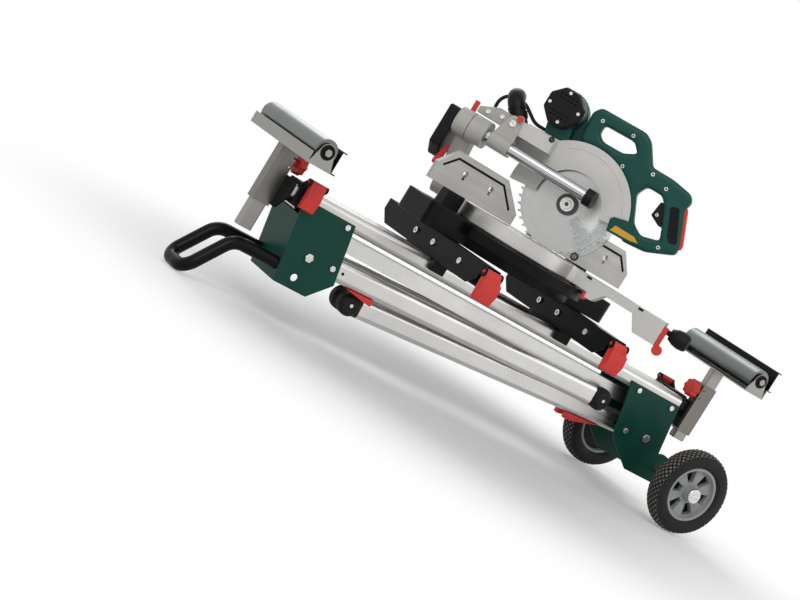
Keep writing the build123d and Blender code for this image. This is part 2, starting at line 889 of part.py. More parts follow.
# Inner posts with the roller's yoke and axle
yoke_reach = roller_radius + yoke_clearance
yoke_end = roller_length / 2 + yoke_gap
yoke_floor = roller_left_z - yoke_drop
with BuildPart() as roller_post:
    with BuildSketch(Plane.XY.offset(yoke_floor - yoke_sheet - post_inner_length)):
        with Locations((-post_x, 0)):
            RectangleRounded(post_inner_x, post_inner_y, 2 * post_wall)
            Rectangle(post_inner_x - 2 * post_wall, post_inner_y - 2 * post_wall, mode=Mode.SUBTRACT)
    extrude(amount=post_inner_length)
    with BuildSketch(Plane.XZ.offset(-yoke_end - yoke_sheet)):
        with BuildLine():
            Polyline(
                (-post_x + yoke_reach, yoke_floor - yoke_sheet),
                (-post_x + yoke_reach, yoke_floor),
                (-post_x - yoke_reach, yoke_floor),
                (-post_x - yoke_reach, roller_left_z - yoke_flange_top),
                (-post_x - yoke_reach - yoke_sheet, roller_left_z - yoke_flange_top),
                (-post_x - yoke_reach - yoke_sheet, yoke_floor - yoke_sheet),
                close=True,
            )
        make_face()
    extrude(amount=2 * (yoke_end + yoke_sheet))
    for side in (-1, 1):
        with BuildSketch(Plane.XZ.offset(side * yoke_end)):
            with Locations((-post_x, roller_left_z)):
                Circle(yoke_ear_radius)
            with BuildLine():
                Polyline(
                    (-post_x - yoke_reach, yoke_floor),
                    (-post_x + yoke_reach, yoke_floor),
                    (-post_x + yoke_ear_radius, roller_left_z),
                    (-post_x - yoke_ear_radius, roller_left_z),
                    close=True,
                )
            make_face()
        extrude(amount=side * yoke_sheet)
        with BuildSketch(Plane.XZ.offset(side * (yoke_end + yoke_sheet))):
            with Locations((-post_x, roller_left_z)):
                RegularPolygon(yoke_nut_radius, 6)
        extrude(amount=side * yoke_nut_height)
    with BuildSketch(Plane.XZ.offset(-yoke_end)):
        with Locations((-post_x, roller_left_z)):
            Circle(roller_axle_radius)
    extrude(amount=2 * yoke_end)
right_lift = Pos(0, 0, right_roller_lift)
pieces["roller_post_left"] = roller_post.part
pieces["roller_post_right"] = right_lift * rotated_about_middle(roller_post.part)

with BuildPart() as roller:
    with BuildSketch(Plane.YZ.offset(-post_x)):
        with Locations((0, roller_left_z + (roller_radius + roller_axle_radius + run_gap) / 2)):
            Rectangle(roller_length, roller_radius - roller_axle_radius - run_gap)
        with Locations((0, roller_left_z + (roller_radius - roller_wall) / 2)):
            Rectangle(roller_length - 2 * roller_end, roller_radius - roller_wall, mode=Mode.SUBTRACT)
        boss_height = roller_boss_radius - roller_axle_radius - run_gap
        boss_length = roller_length + 2 * yoke_gap - 2 * slide_gap
        with Locations((0, roller_left_z + roller_boss_radius - boss_height / 2)):
            Rectangle(boss_length, boss_height)
            Rectangle(roller_length - 2 * roller_end, boss_height, mode=Mode.SUBTRACT)
    revolve(axis=Axis((-post_x, 0, roller_left_z), (0, 1, 0)))
pieces["roller_left"] = roller.part
pieces["roller_right"] = right_lift * rotated_about_middle(roller.part)


# Stop plates beside the rollers, both on the side towards the wheels
def stop_plate(inner_x, low_z):
    """Lipped sheet along the roller, standing at inner_x with its lower edge at low_z."""
    with BuildPart() as plate:
        with BuildSketch(Plane.XZ.offset(-yoke_end - yoke_sheet)):
            with BuildLine():
                Polyline(
                    (inner_x, low_z),
                    (inner_x + stop_lip, low_z),
                    (inner_x + stop_lip, low_z + stop_sheet),
                    (inner_x + stop_sheet, low_z + stop_sheet),
                    (inner_x + stop_sheet, low_z + stop_height - stop_sheet),
                    (inner_x + stop_lip, low_z + stop_height - stop_sheet),
                    (inner_x + stop_lip, low_z + stop_height),
                    (inner_x, low_z + stop_height),
                    close=True,
                )
            make_face()
        extrude(amount=2 * (yoke_end + yoke_sheet))
    return plate.part


left_stop_x = -post_x + yoke_reach + flat_gap
right_stop_x = post_x + yoke_reach + yoke_sheet + flat_gap
right_stop_low = roller_left_z + right_roller_lift + stop_low + stop_lift
pieces["stop_plate_left"] = stop_plate(left_stop_x, roller_left_z + stop_low)
pieces["stop_plate_right"] = stop_plate(right_stop_x, right_stop_low)


# Post knobs
with BuildPart() as post_knob:
    post_face = -post_x + post_outer_x / 2
    with BuildSketch(Plane.YZ.offset(post_face + knob_standoff)):
        with Locations((0, knob_z)):
            Circle(knob_radius - knob_lobe_radius / 2)
            with PolarLocations(knob_radius - knob_lobe_radius, knob_lobes):
                Circle(knob_lobe_radius)
    extrude(amount=knob_width)
    chamfer(post_knob.faces().sort_by(Axis.X)[-1].edges(), knob_edge)
    with BuildSketch(Plane.YZ.offset(post_face + slide_gap)):
        with Locations((0, knob_z)):
            Circle(knob_boss_radius)
    extrude(amount=knob_standoff)
    with BuildSketch(Plane.YZ.offset(post_face + knob_standoff)):
        with Locations((0, knob_z)):
            Circle(knob_screw_radius)
    extrude(amount=-(knob_standoff + (post_outer_x - post_inner_x) / 2 - slide_gap))
pieces["post_knob_left"] = post_knob.part
pieces["post_knob_right"] = rotated_about_middle(post_knob.part)


# Saw carriers and their quick levers
def saw_carrier(x):
    """Upturned channel across the beam, with two jaws on the beam's sides and two ears in front."""
    pivot = (carrier_pivot_y, carrier_top - carrier_pivot_drop)
    with BuildPart() as carrier:
        with BuildSketch(Plane.YZ.offset(x - carrier_width / 2)):
            with BuildLine():
                Polyline(
                    (carrier_back, carrier_bottom + carrier_height / 2),
                    (carrier_back, carrier_top),
                    (carrier_front, carrier_top),
                    (carrier_front, carrier_top - carrier_nose),
                    (carrier_front + carrier_nose, carrier_bottom),
                    (carrier_back - carrier_nose, carrier_bottom),
                    close=True,
                )
            make_face()
            with Locations(pivot):
                Circle(carrier_ear_radius)
        extrude(amount=carrier_width)
        with BuildSketch(Plane.YZ.offset(x - carrier_width / 2 + carrier_sheet)):
            with BuildLine():
                Polyline(
                    (carrier_back, carrier_bottom),
                    (carrier_back, carrier_top - carrier_sheet),
                    (carrier_front, carrier_top - carrier_sheet),
                    (carrier_front, carrier_bottom),
                    close=True,
                )
            make_face()
            with Locations((carrier_front - carrier_ear_radius * 2, carrier_top - carrier_height / 2)):
                Rectangle(4 * carrier_ear_radius, carrier_height)
        extrude(amount=carrier_width - 2 * carrier_sheet, mode=Mode.SUBTRACT)
        for side in (-1, 1):
            jaw_y = side * (beam_side + flat_gap + carrier_jaw_depth / 2)
            jaw_z = carrier_bottom + carrier_sheet - (carrier_jaw_drop + carrier_sheet) / 2
            with Locations((x, jaw_y, jaw_z)):
                Box(carrier_jaw_width, carrier_jaw_depth, carrier_jaw_drop + carrier_sheet)
            with Locations((x, jaw_y, carrier_bottom + carrier_sheet * 2)):
                Box(carrier_width - carrier_sheet, carrier_jaw_depth, carrier_sheet * 4)
        with Locations(Plane.YZ * Pos(*pivot, x)):
            Hole(carrier_pin_radius + run_gap, carrier_width)
    return carrier.part


def carrier_lever(x):
    """Broad paddle in front of a carrier, hanging from its pin."""
    pivot_z = carrier_top - carrier_pivot_drop
    inner_width = carrier_width - 2 * carrier_sheet - 2 * slide_gap
    foot_z = pivot_z - carrier_lever_drop
    front_y = carrier_pivot_y - carrier_lever_thickness
    flare_z = pivot_z - carrier_ear_radius - 1
    with BuildPart() as lever:
        with BuildSketch(Plane.YZ.offset(x - inner_width / 2)):
            with Locations((carrier_pivot_y, pivot_z)):
                Circle(carrier_ear_radius - 2)
            with BuildLine():
                Polyline(
                    (carrier_pivot_y, pivot_z),
                    (carrier_pivot_y - 1, flare_z),
                    (front_y - 3, flare_z),
                    (carrier_pivot_y - carrier_ear_radius + 2, pivot_z),
                    close=True,
                )
            make_face()
        extrude(amount=inner_width)
        with BuildSketch(Plane.YZ.offset(x - carrier_width / 2)):
            with BuildLine():
                Polyline(
                    (carrier_pivot_y - 1, flare_z),
                    (carrier_pivot_y - 4, foot_z),
                    (front_y + 2, foot_z),
                    (front_y - 6, (foot_z + flare_z) / 2),
                    (front_y - 3, flare_z),
                    close=True,
                )
            make_face()
        extrude(amount=carrier_width)
        fillet(lever.edges().filter_by(Axis.X).group_by(Axis.Z)[0], 3)
        with BuildSketch(Plane.YZ.offset(x - carrier_width / 2)):
            with Locations((carrier_pivot_y, pivot_z)):
                Circle(carrier_pin_radius)
        extrude(amount=carrier_width)
    return lever.part


for carrier_name, carrier_x in (("left", carrier_left_x), ("right", carrier_right_x)):
    pieces[f"saw_carrier_{carrier_name}"] = saw_carrier(carrier_x)
    pieces[f"carrier_lever_{carrier_name}"] = carrier_lever(carrier_x)


# Saw base: a hollow casting with two wings, a scale ring in front and two fence pillars
wing_length = wing_right - wing_left
wing_depth = wing_back - wing_front
wing_middle = ((wing_left + wing_right) / 2, (wing_front + wing_back) / 2)
with BuildPart() as saw_base:
    with BuildSketch(Plane.XY.offset(carrier_top)):
        with Locations((mitre_x, mitre_y)):
            Circle(base_radius)
        with Locations(wing_middle):
            RectangleRounded(wing_length, wing_depth, wing_corner)
    extrude(amount=base_height)
    with BuildSketch(Plane.XY.offset(carrier_top)):
        with Locations((mitre_x, mitre_y)):
            Circle(base_radius - base_wall)
        with Locations(wing_middle):
            RectangleRounded(
                wing_length - 2 * base_wall,
                wing_depth - 2 * base_wall,
                wing_corner - base_wall,
            )
    extrude(amount=base_height - base_roof, mode=Mode.SUBTRACT)
    with BuildSketch(Plane.XY.offset(carrier_top)):
        for carrier_x in (carrier_left_x, carrier_right_x):
            with Locations((carrier_x, wing_middle[1])):
                Rectangle(carrier_width / 2, wing_depth - base_wall)
    extrude(amount=base_height - base_roof / 2)
    with BuildSketch(Plane.XY.offset(base_top - scale_drop - scale_height)):
        with Locations((mitre_x, mitre_y)):
            Circle(scale_radius)
            Circle(base_radius - base_wall / 2, mode=Mode.SUBTRACT)
            ring_edge = 2 * scale_radius
            half_turn = radians(scale_angle / 2)
            Polygon(
                (0, 0),
                (-ring_edge * sin(half_turn), -ring_edge * cos(half_turn)),
                (0, -2 * ring_edge),
                (ring_edge * sin(half_turn), -ring_edge * cos(half_turn)),
                align=None,
                mode=Mode.INTERSECT,
            )
    extrude(amount=scale_height)
    with Locations((mitre_x, mitre_y, base_top)):
        Cylinder(pivot_boss_radius, base_height, align=(Align.CENTER, Align.CENTER, Align.MAX))
        Hole(table_pin_radius + run_gap, base_height)
    for pillar_x in (pillar_left_x, pillar_right_x):
        with BuildSketch(Plane.YZ.offset(pillar_x - pillar_width / 2)):
            ledge_top = fence_bottom - flat_gap
            face_y = fence_y + fence_thickness + flat_gap
            with BuildLine():
                Polyline(
                    (fence_y, base_top - base_roof / 2),
                    (face_y + pillar_depth, base_top - base_roof / 2),
                    (face_y + pillar_depth / 2, base_top + pillar_height),
                    (face_y, base_top + pillar_height),
                    (face_y, ledge_top),
                    (fence_y, ledge_top),
                    close=True,
                )
            make_face()
        extrude(amount=pillar_width)
pieces["saw_base"] = saw_base.part


# Fences
def fence(end_x, top_x, tip_x, keys):
    """Sliding fence plate from its outer end to its tip by the blade, with a groove along its top."""
    out = 1 if end_x > tip_x else -1
    top_z = fence_bottom + fence_height
    corner_x = end_x - out * fence_corner_run
    tip_z = fence_bottom + fence_tip_height
    inset = fence_groove_inset
    with BuildPart() as plate:
        with BuildSketch(Plane.XZ.offset(-fence_y - fence_thickness)):
            with BuildLine():
                Polyline(
                    (end_x, fence_bottom),
                    (end_x, top_z - fence_corner_drop),
                    (corner_x, top_z),
                    (top_x, top_z),
                    (tip_x, tip_z),
                    (tip_x, fence_bottom),
                    close=True,
                )
            make_face()
            for key_x in keys:
                with Locations((key_x, top_z - 2.4 * inset)):
                    Circle(fence_key_radius, mode=Mode.SUBTRACT)
                with Locations((key_x, top_z - 2.4 * inset - fence_key_drop / 2)):
                    Rectangle(2 * fence_key_slot, fence_key_drop, mode=Mode.SUBTRACT)
        extrude(amount=fence_thickness)
        with BuildSketch(Plane.XZ.offset(-fence_y - fence_groove_depth)):
            with BuildLine():
                Polyline(
                    (end_x - out * inset, top_z - fence_corner_drop),
                    (corner_x - out * inset / 3, top_z - inset),
                    (top_x + out * inset / 3, top_z - inset),
                    (tip_x + out * inset * 1.6, tip_z),
                )
            trace(line_width=fence_groove)
        extrude(amount=2 * fence_groove_depth, mode=Mode.SUBTRACT)
    return plate.part


pieces["fence_left"] = fence(fence_left_end, fence_left_top, fence_left_tip, fence_left_keys)
pieces["fence_right"] = fence(fence_right_end, fence_right_top, fence_right_tip, fence_right_keys)


# Turntable with its arm and the lug of the bevel pin
with BuildPart() as turntable:
    with Locations((0, 0, table_bottom)):
        Cylinder(table_radius, table_thickness, align=(Align.CENTER, Align.CENTER, Align.MIN))
        hollow = table_thickness - table_roof
        Cylinder(
            table_radius - table_rim,
            hollow,
            align=(Align.CENTER, Align.CENTER, Align.MIN),
            mode=Mode.SUBTRACT,
        )
        Cylinder(pivot_boss_radius, hollow, align=(Align.CENTER, Align.CENTER, Align.MIN))
        Cylinder(table_pin_radius, table_pin_length, align=(Align.CENTER, Align.CENTER, Align.MAX))
    with BuildSketch(blade_plane.offset(-arm_half_width)):
        with BuildLine():
            Polyline(
                (table_radius - 2 * table_rim, table_bottom),
                (arm_deep_start, table_bottom),
                (arm_deep_start, table_top - arm_deep),
                (arm_notch_start, table_top - arm_deep),
                (arm_notch_start + arm_notch_height, table_top - arm_notch_height),
                (arm_notch_end, table_top - arm_notch_height),
                (arm_notch_end + arm_notch_height, table_top - arm_end_drop),
                (arm_length, table_top - arm_end_drop),
                (arm_length, table_top),
                (table_radius - 2 * table_rim, table_top),
                close=True,
            )
        make_face()
    extrude(amount=2 * arm_half_width)
    with BuildSketch(Plane.XY.offset(table_top)):
        for side in (-1, 1):
            with BuildLine():
                Polyline(
                    (side * arm_half_width, -table_radius - table_rim),
                    (side * arm_tip_half_width, -arm_length),
                    (side * 2 * arm_half_width, -arm_length),
                    (side * 2 * arm_half_width, -table_radius - table_rim),
                    close=True,
                )
            make_face()
    extrude(amount=-arm_end_drop, mode=Mode.SUBTRACT)
    with BuildSketch(across(bevel_face)):
        with Locations((0, table_bottom + (table_top - table_bottom) / 2)):
            Rectangle(2 * bevel_lug_half_width, table_top - table_bottom)
        with Locations((0, table_top)):
            Circle(bevel_boss_radius)
        with Locations((0, table_bottom - bevel_boss_radius)):
            Rectangle(4 * bevel_boss_radius, 2 * bevel_boss_radius, mode=Mode.SUBTRACT)
    extrude(amount=-(bevel_face + table_radius - 2 * table_rim))
    with BuildSketch(across(bevel_face)):
        with Locations((0, table_top)):
            Circle(bevel_pin_radius)
    extrude(amount=-bevel_arm_depth)
    with BuildSketch(Plane.XY.offset(table_top)):
        with Locations((0, -(kerf_back + kerf_front) / 2)):
            SlotOverall(kerf_front - kerf_back, 2 * (kerf_half_width + insert_margin), rotation=90)
    extrude(amount=-insert_depth, mode=Mode.SUBTRACT)
    with BuildSketch(Plane.XY.offset(table_top)):
        with Locations((0, -(kerf_back + kerf_front) / 2)):
            SlotOverall(kerf_front - kerf_back - 2 * insert_margin, 2 * kerf_half_width, rotation=90)
    extrude(amount=-table_roof, mode=Mode.SUBTRACT)
    with Locations(across(arm_length) * Pos(0, mitre_knob_z)):
        Hole(mitre_stem_radius + run_gap, arm_length - arm_notch_end)
pieces["turntable"] = saw_place * turntable.part

with BuildPart() as table_insert:
    with BuildSketch(Plane.XY.offset(table_top - insert_depth)):
        with Locations((0, -(kerf_back + kerf_front) / 2)):
            SlotOverall(
                kerf_front - kerf_back - 2 * seat_gap,
                2 * (kerf_half_width + insert_margin - seat_gap),
                rotation=90,
            )
            SlotOverall(
                kerf_front - kerf_back - 2 * insert_margin,
                2 * kerf_half_width,
                rotation=90,
                mode=Mode.SUBTRACT,
            )
    extrude(amount=insert_depth)
pieces["table_insert"] = saw_place * table_insert.part


# Mitre knob and lever
with BuildPart() as mitre_knob:
    with BuildSketch(blade_plane):
        with BuildLine():
            knob_end = mitre_knob_start + mitre_knob_length
            stem_start = arm_notch_end + 2 * mitre_lever_thickness
            Polyline(
                (stem_start, mitre_knob_z),
                (stem_start, mitre_knob_z + mitre_stem_radius),
                (mitre_knob_start, mitre_knob_z + mitre_stem_radius),
                (mitre_knob_start, mitre_knob_z + mitre_knob_radius * 0.6),
                (mitre_knob_start + mitre_knob_length * 0.3, mitre_knob_z + mitre_knob_radius * 0.9),
                (mitre_knob_start + mitre_knob_length * 0.6, mitre_knob_z + mitre_knob_radius),
                (knob_end - mitre_knob_length * 0.1, mitre_knob_z + mitre_knob_radius * 0.92),
                (knob_end, mitre_knob_z + mitre_knob_radius * 0.75),
                (knob_end, mitre_knob_z),
                close=True,
            )
        make_face()
    revolve(axis=Axis((0, 0, mitre_knob_z), (0, -1, 0)))
pieces["mitre_knob"] = saw_place * mitre_knob.part

with BuildPart() as mitre_lever:
    lever_low = table_top - mitre_lever_top - mitre_lever_drop
    with BuildSketch(blade_plane.offset(mitre_lever_offset - mitre_lever_width / 2)):
        with BuildLine():
            Polyline(
                (arm_length + slide_gap, table_top - mitre_lever_top),
                (arm_length + mitre_lever_thickness, table_top - mitre_lever_top),
                (arm_length + mitre_lever_thickness, lever_low),
                (arm_length + slide_gap, lever_low),
                close=True,
            )
        make_face()
        with Locations((arm_length + slide_gap + mitre_lever_bulb, lever_low)):
            Circle(mitre_lever_bulb)
    extrude(amount=mitre_lever_width)
pieces["mitre_lever"] = saw_place * mitre_lever.part


# Bevel arm with the drum that holds the slide tubes
drum_middle = (tube_outer_offset + tube_inner_offset) / 2
tube_pitch = tube_outer_offset - tube_inner_offset
arm_back = bevel_face - flat_gap
with BuildPart() as bevel_arm:
    with BuildSketch(across(arm_back)):
        with Locations((0, table_top)):
            Circle(bevel_boss_radius)
        with BuildLine():
            Polyline(
                (bevel_boss_radius, table_top),
                (-drum_middle + bevel_arm_width / 2, tube_z),
                (-drum_middle - bevel_arm_width / 2, tube_z),
                (-bevel_boss_radius, table_top),
                close=True,
            )
        make_face()
        with Locations((0, table_top)):
            Circle(bevel_pin_radius + run_gap, mode=Mode.SUBTRACT)
    extrude(amount=-bevel_arm_depth)
    with BuildSketch(across(drum_back)):
        with Locations((-drum_middle, tube_z)):
            SlotCenterToCenter(tube_pitch, 2 * drum_radius)
    extrude(amount=drum_front - drum_back)
    with BuildSketch(across(tube_back)):
        with Locations((-tube_outer_offset, tube_z), (-tube_inner_offset, tube_z)):
            Circle(tube_radius + seat_gap)
    extrude(amount=drum_front - tube_back, mode=Mode.SUBTRACT)
    with Locations((-drum_middle, -slide_lock_k, tube_z + drum_radius)):
        Hole(slide_lock_radius + run_gap, slide_lock_depth + flat_gap)
pieces["bevel_arm"] = saw_place * bevel_arm.part

with BuildPart() as rear_cover:
    with BuildSketch(across(drum_back)) as cover_outline:
        Polygon(
            (-cover_left, cover_top),
            (-cover_right, cover_top),
            (-cover_right, cover_foot),
            (-cover_foot_left, cover_foot),
            (-cover_left, cover_shoulder),
            align=None,
        )
        fillet(cover_outline.vertices(), cover_corner / 2)
    extrude(amount=-cover_depth)
pieces["rear_cover"] = saw_place * rear_cover.part

with BuildPart() as bevel_lever:
    lever_plane = across(arm_back - bevel_arm_depth - flat_gap)
    with BuildSketch(lever_plane):
        with Locations((-bevel_lever_offset, bevel_lever_z)):
            Circle(bevel_lever_width / 2)
            with Locations(Rot(0, 0, 180 - bevel_lever_tilt)):
                with Locations((bevel_lever_reach / 2, 0)):
                    SlotCenterToCenter(bevel_lever_reach, bevel_lever_width)
    extrude(amount=-bevel_lever_thickness)
pieces["bevel_lever"] = saw_place * bevel_lever.part


# Slide tubes with the stop block on their front ends
with BuildPart() as slide_tubes:
    with BuildSketch(across(tube_back)):
        with Locations((-tube_outer_offset, tube_z), (-tube_inner_offset, tube_z)):
            Circle(tube_radius)
            Circle(tube_radius - tube_wall, mode=Mode.SUBTRACT)
    extrude(amount=tube_front - tube_back)
    with BuildSketch(across(tube_front - tube_stop / 2)):
        with Locations((-drum_middle, tube_z)):
            SlotCenterToCenter(tube_pitch, 2 * tube_radius + 2 * tube_stop_margin)
    extrude(amount=tube_stop)
pieces["slide_tubes"] = saw_place * slide_tubes.part


# Carriage that runs on the tubes and carries the chop pin
with BuildPart() as slide_carriage:
    carriage_half = tube_radius + carriage_wall
    with BuildSketch(across(carriage_back)):
        with Locations((-drum_middle, tube_z)):
            SlotCenterToCenter(tube_pitch, 2 * carriage_half)
        with Locations((-tube_outer_offset, tube_z), (-tube_inner_offset, tube_z)):
            Circle(tube_radius + run_gap, mode=Mode.SUBTRACT)
    extrude(amount=carriage_front - carriage_back)
    ear_faces = (chop_lug_left + slide_gap, chop_lug_right - slide_gap - chop_ear)
    for ear_face in ear_faces:
        with BuildSketch(blade_plane.offset(ear_face)):
            with Locations((chop_k, chop_z)):
                Circle(chop_ear_radius)
            Polygon(
                (carriage_back, tube_z + tube_radius + carriage_wall / 2),
                (carriage_front, tube_z + tube_radius + carriage_wall / 2),
                (chop_k + chop_ear_radius, chop_z),
                (chop_k - chop_ear_radius, chop_z),
                align=None,
            )
        extrude(amount=chop_ear)
    with BuildSketch(blade_plane.offset(ear_faces[0])):
        with Locations(head_lock_place):
            Circle(head_lock_lobe)
    extrude(amount=chop_ear)
    with BuildSketch(blade_plane.offset(ear_faces[1])):
        with Locations((chop_k, chop_z)):
            Circle(chop_pin_radius)
    extrude(amount=ear_faces[0] - ear_faces[1] + chop_ear)
    for tail_front, tail_width in ((chop_k, chop_ear), (chop_k - chop_ear_radius, tail_thickness)):
        with BuildSketch(blade_plane.offset(ear_faces[1])):
            Polygon(
                (tail_front, tail_bottom),
                (tail_back, tail_bottom),
                (tail_back, tail_bottom + tail_rise),
                (tail_back + tail_slope, tail_top),
                (tail_front, tail_top),
                align=None,
            )
        extrude(amount=tail_width)
    with BuildSketch(blade_plane.offset(ear_faces[0])):
        with Locations(head_lock_place):
            Circle(head_lock_radius + run_gap)
    extrude(amount=chop_ear, mode=Mode.SUBTRACT)
pieces["slide_carriage"] = saw_place * slide_carriage.part

with BuildPart() as head_lock:
    lock_face = ear_faces[0] + chop_ear
    with BuildSketch(blade_plane.offset(ear_faces[0] + slide_gap)):
        with Locations(head_lock_place):
            Circle(head_lock_radius)
    extrude(amount=chop_ear)
    with BuildSketch(blade_plane.offset(lock_face + flat_gap)):
        with Locations(head_lock_place):
            RectangleRounded(head_lock_size, head_lock_size, head_lock_radius)
    extrude(amount=head_lock_size)
pieces["head_lock"] = saw_place * head_lock.part

with BuildPart() as slide_lock:
    lock_bottom = tube_z + drum_radius + flat_gap
    with Locations((-drum_middle, -slide_lock_k, lock_bottom)):
        Cylinder(slide_lock_radius, slide_lock_depth, align=(Align.CENTER, Align.CENTER, Align.MAX))
        Box(
            slide_lock_thickness,
            slide_lock_width,
            slide_lock_height,
            align=(Align.CENTER, Align.CENTER, Align.MIN),
        )
pieces["slide_lock"] = saw_place * slide_lock.part


# Upper guard: a shell over the blade, with its dust chute and the lug on the chop pin
def sector(radius, low, high):
    """Wedge outline about the blade's centre, between two angles, wide enough for a radius."""
    far = 3 * radius
    middle = (low + high) / 2
    points = [(0, 0)]
    for angle in (low, (low + middle) / 2, middle, (middle + high) / 2, high):
        points.append((far * cos(radians(angle)), far * sin(radians(angle))))
    return points


blade_middle = (blade_k, blade_z)
chute_outline = [
    (blade_k - guard_radius * 0.8, chute_bottom - 2 * chop_lug_radius),
    (chute_back, chute_bottom),
    (chute_back, chute_low),
    (chute_back + chute_mouth * cos(elbow_tilt), chute_low + chute_mouth * sin(elbow_tilt)),
    (blade_k - guard_radius * 0.6, blade_z + guard_radius * 0.79),
]
inner_half = guard_half_width - guard_wall
with BuildPart() as upper_guard:
    with BuildSketch(blade_plane.offset(-guard_half_width)):
        with Locations(blade_middle):
            Circle(guard_radius)
            shell_wedge = sector(guard_radius, guard_front_angle, guard_back_angle)
            Polygon(*shell_wedge, align=None, mode=Mode.INTERSECT)
        Polygon(*chute_outline, align=None)
    extrude(amount=2 * guard_half_width)
    with BuildSketch(blade_plane.offset(-inner_half)):
        with Locations(blade_middle):
            Circle(guard_radius - guard_wall)
            wide_wedge = sector(guard_radius, guard_front_angle - 8, guard_back_angle + 8)
            Polygon(*wide_wedge, align=None, mode=Mode.INTERSECT)
    extrude(amount=2 * inner_half, mode=Mode.SUBTRACT)
    with BuildSketch(blade_plane.offset(inner_half - guard_wall)):
        with Locations(blade_middle):
            Circle(guard_window)
    extrude(amount=3 * guard_wall, mode=Mode.SUBTRACT)
    with BuildSketch(blade_plane.offset(-guard_half_width - guard_wall)):
        with Locations(blade_middle):
            Circle(nose_radius + slide_gap)
    extrude(amount=3 * guard_wall, mode=Mode.SUBTRACT)
    lug_front = blade_k - guard_radius * 0.62
    with BuildSketch(blade_plane.offset(chop_lug_right)):
        with Locations((chop_k, chop_z)):
            Circle(chop_lug_radius)
        Polygon(
            (chop_k, chop_z + chop_lug_radius),
            (lug_front, lug_top),
            (lug_front, chop_z - chop_lug_radius),
            (chop_k, chop_z - chop_lug_radius),
            align=None,
        )
        with Locations((chop_k, chop_z)):
            Circle(chop_pin_radius + run_gap, mode=Mode.SUBTRACT)
    extrude(amount=chop_lug_left - chop_lug_right)
    lug_back = carriage_front + lug_gap
    with BuildSketch(blade_plane.offset(inner_half)):
        Polygon(
            (lug_back, lug_top),
            (lug_front, lug_top),
            (lug_front, chop_z - chop_lug_radius),
            (lug_back, chop_z - chop_lug_radius),
            align=None,
        )
    extrude(amount=chop_lug_left - inner_half)
pieces["upper_guard"] = saw_place * upper_guard.part


# Saw blade, and the flanges and bolt that clamp it on the spindle
with BuildPart() as saw_blade:
    with BuildSketch(blade_plane.offset(-blade_thickness / 2)):
        with Locations(blade_middle):
            Circle(blade_body_radius)
            with PolarLocations(0, blade_teeth):
                Polygon(
                    (blade_body_radius - 2, 0),
                    (blade_radius, 0),
                    (blade_radius - 1, 3),
                    (blade_body_radius - 2, 9),
                    align=None,
                )
            Circle(spindle_radius + seat_gap, mode=Mode.SUBTRACT)
    extrude(amount=blade_thickness)
pieces["saw_blade"] = saw_place * saw_blade.part

with BuildPart() as blade_flange:
    with BuildSketch(blade_plane.offset(flange_right)):
        with Locations(blade_middle):
            Circle(spindle_radius)
    extrude(amount=flange_left - flange_right)
    with BuildSketch(blade_plane.offset(flange_right)):
        with Locations(blade_middle):
            Circle(flange_radius)
    extrude(amount=-flange_right - blade_thickness / 2)
    with BuildSketch(blade_plane.offset(blade_thickness / 2)):
        with Locations(blade_middle):
            Circle(flange_radius)
    extrude(amount=flange_left - blade_thickness / 2)
    with BuildSketch(blade_plane.offset(flange_left)):
        with Locations(blade_middle):
            RegularPolygon(arbor_bolt_radius, 6)
    extrude(amount=arbor_bolt_left - flange_left)
pieces["blade_flange"] = saw_place * blade_flange.part


# Clear lower guard: two cheeks, a rim and a small roller at its low edge
with BuildPart() as lower_guard:
    rim_inner = lower_guard_radius - lower_guard_sheet
    with BuildSketch(blade_plane.offset(-lower_guard_half_width)):
        with Locations(blade_middle):
            Circle(lower_guard_radius)
            cheek_wedge = sector(lower_guard_radius, lower_guard_low, lower_guard_high)
            Polygon(*cheek_wedge, align=None, mode=Mode.INTERSECT)
            Circle(lower_guard_hub, mode=Mode.SUBTRACT)
    extrude(amount=2 * lower_guard_half_width)
    with BuildSketch(blade_plane.offset(-lower_guard_half_width + lower_guard_sheet)):
        with Locations(blade_middle):
            Circle(rim_inner)
    extrude(amount=2 * (lower_guard_half_width - lower_guard_sheet), mode=Mode.SUBTRACT)
    with BuildSketch(blade_plane.offset(lower_guard_half_width - 2 * lower_guard_sheet)):
        with Locations(blade_middle):
            Circle(lower_guard_inner)
            open_low = lower_guard_low + lower_guard_lip
            open_wedge = sector(lower_guard_radius, open_low, lower_guard_high + lower_guard_overrun)
            Polygon(*open_wedge, align=None, mode=Mode.INTERSECT)
    extrude(amount=4 * lower_guard_sheet, mode=Mode.SUBTRACT)
    low = radians(lower_guard_low)
    roller_k = blade_k + rim_inner * cos(low)
    roller_z = blade_z + rim_inner * sin(low)
    with BuildSketch(blade_plane.offset(lower_guard_half_width)):
        with Locations((roller_k, roller_z)):
            Circle(lower_roller_radius)
    extrude(amount=2 * lower_guard_sheet)
pieces["lower_guard"] = saw_place * lower_guard.part


# Motor, its cap and the drive case that carries the blade's spindle
def motor_neck():
    """Points of the neck between the motor and the guard, forward and up."""
    return [
        (motor_k - motor_radius * 0.7, motor_z),
        (motor_k + motor_radius * 0.7, motor_z),
        (motor_k + motor_radius, blade_z + guard_radius * 0.75),
        (motor_k - motor_radius * 0.3, blade_z + guard_radius * 0.75),
    ]


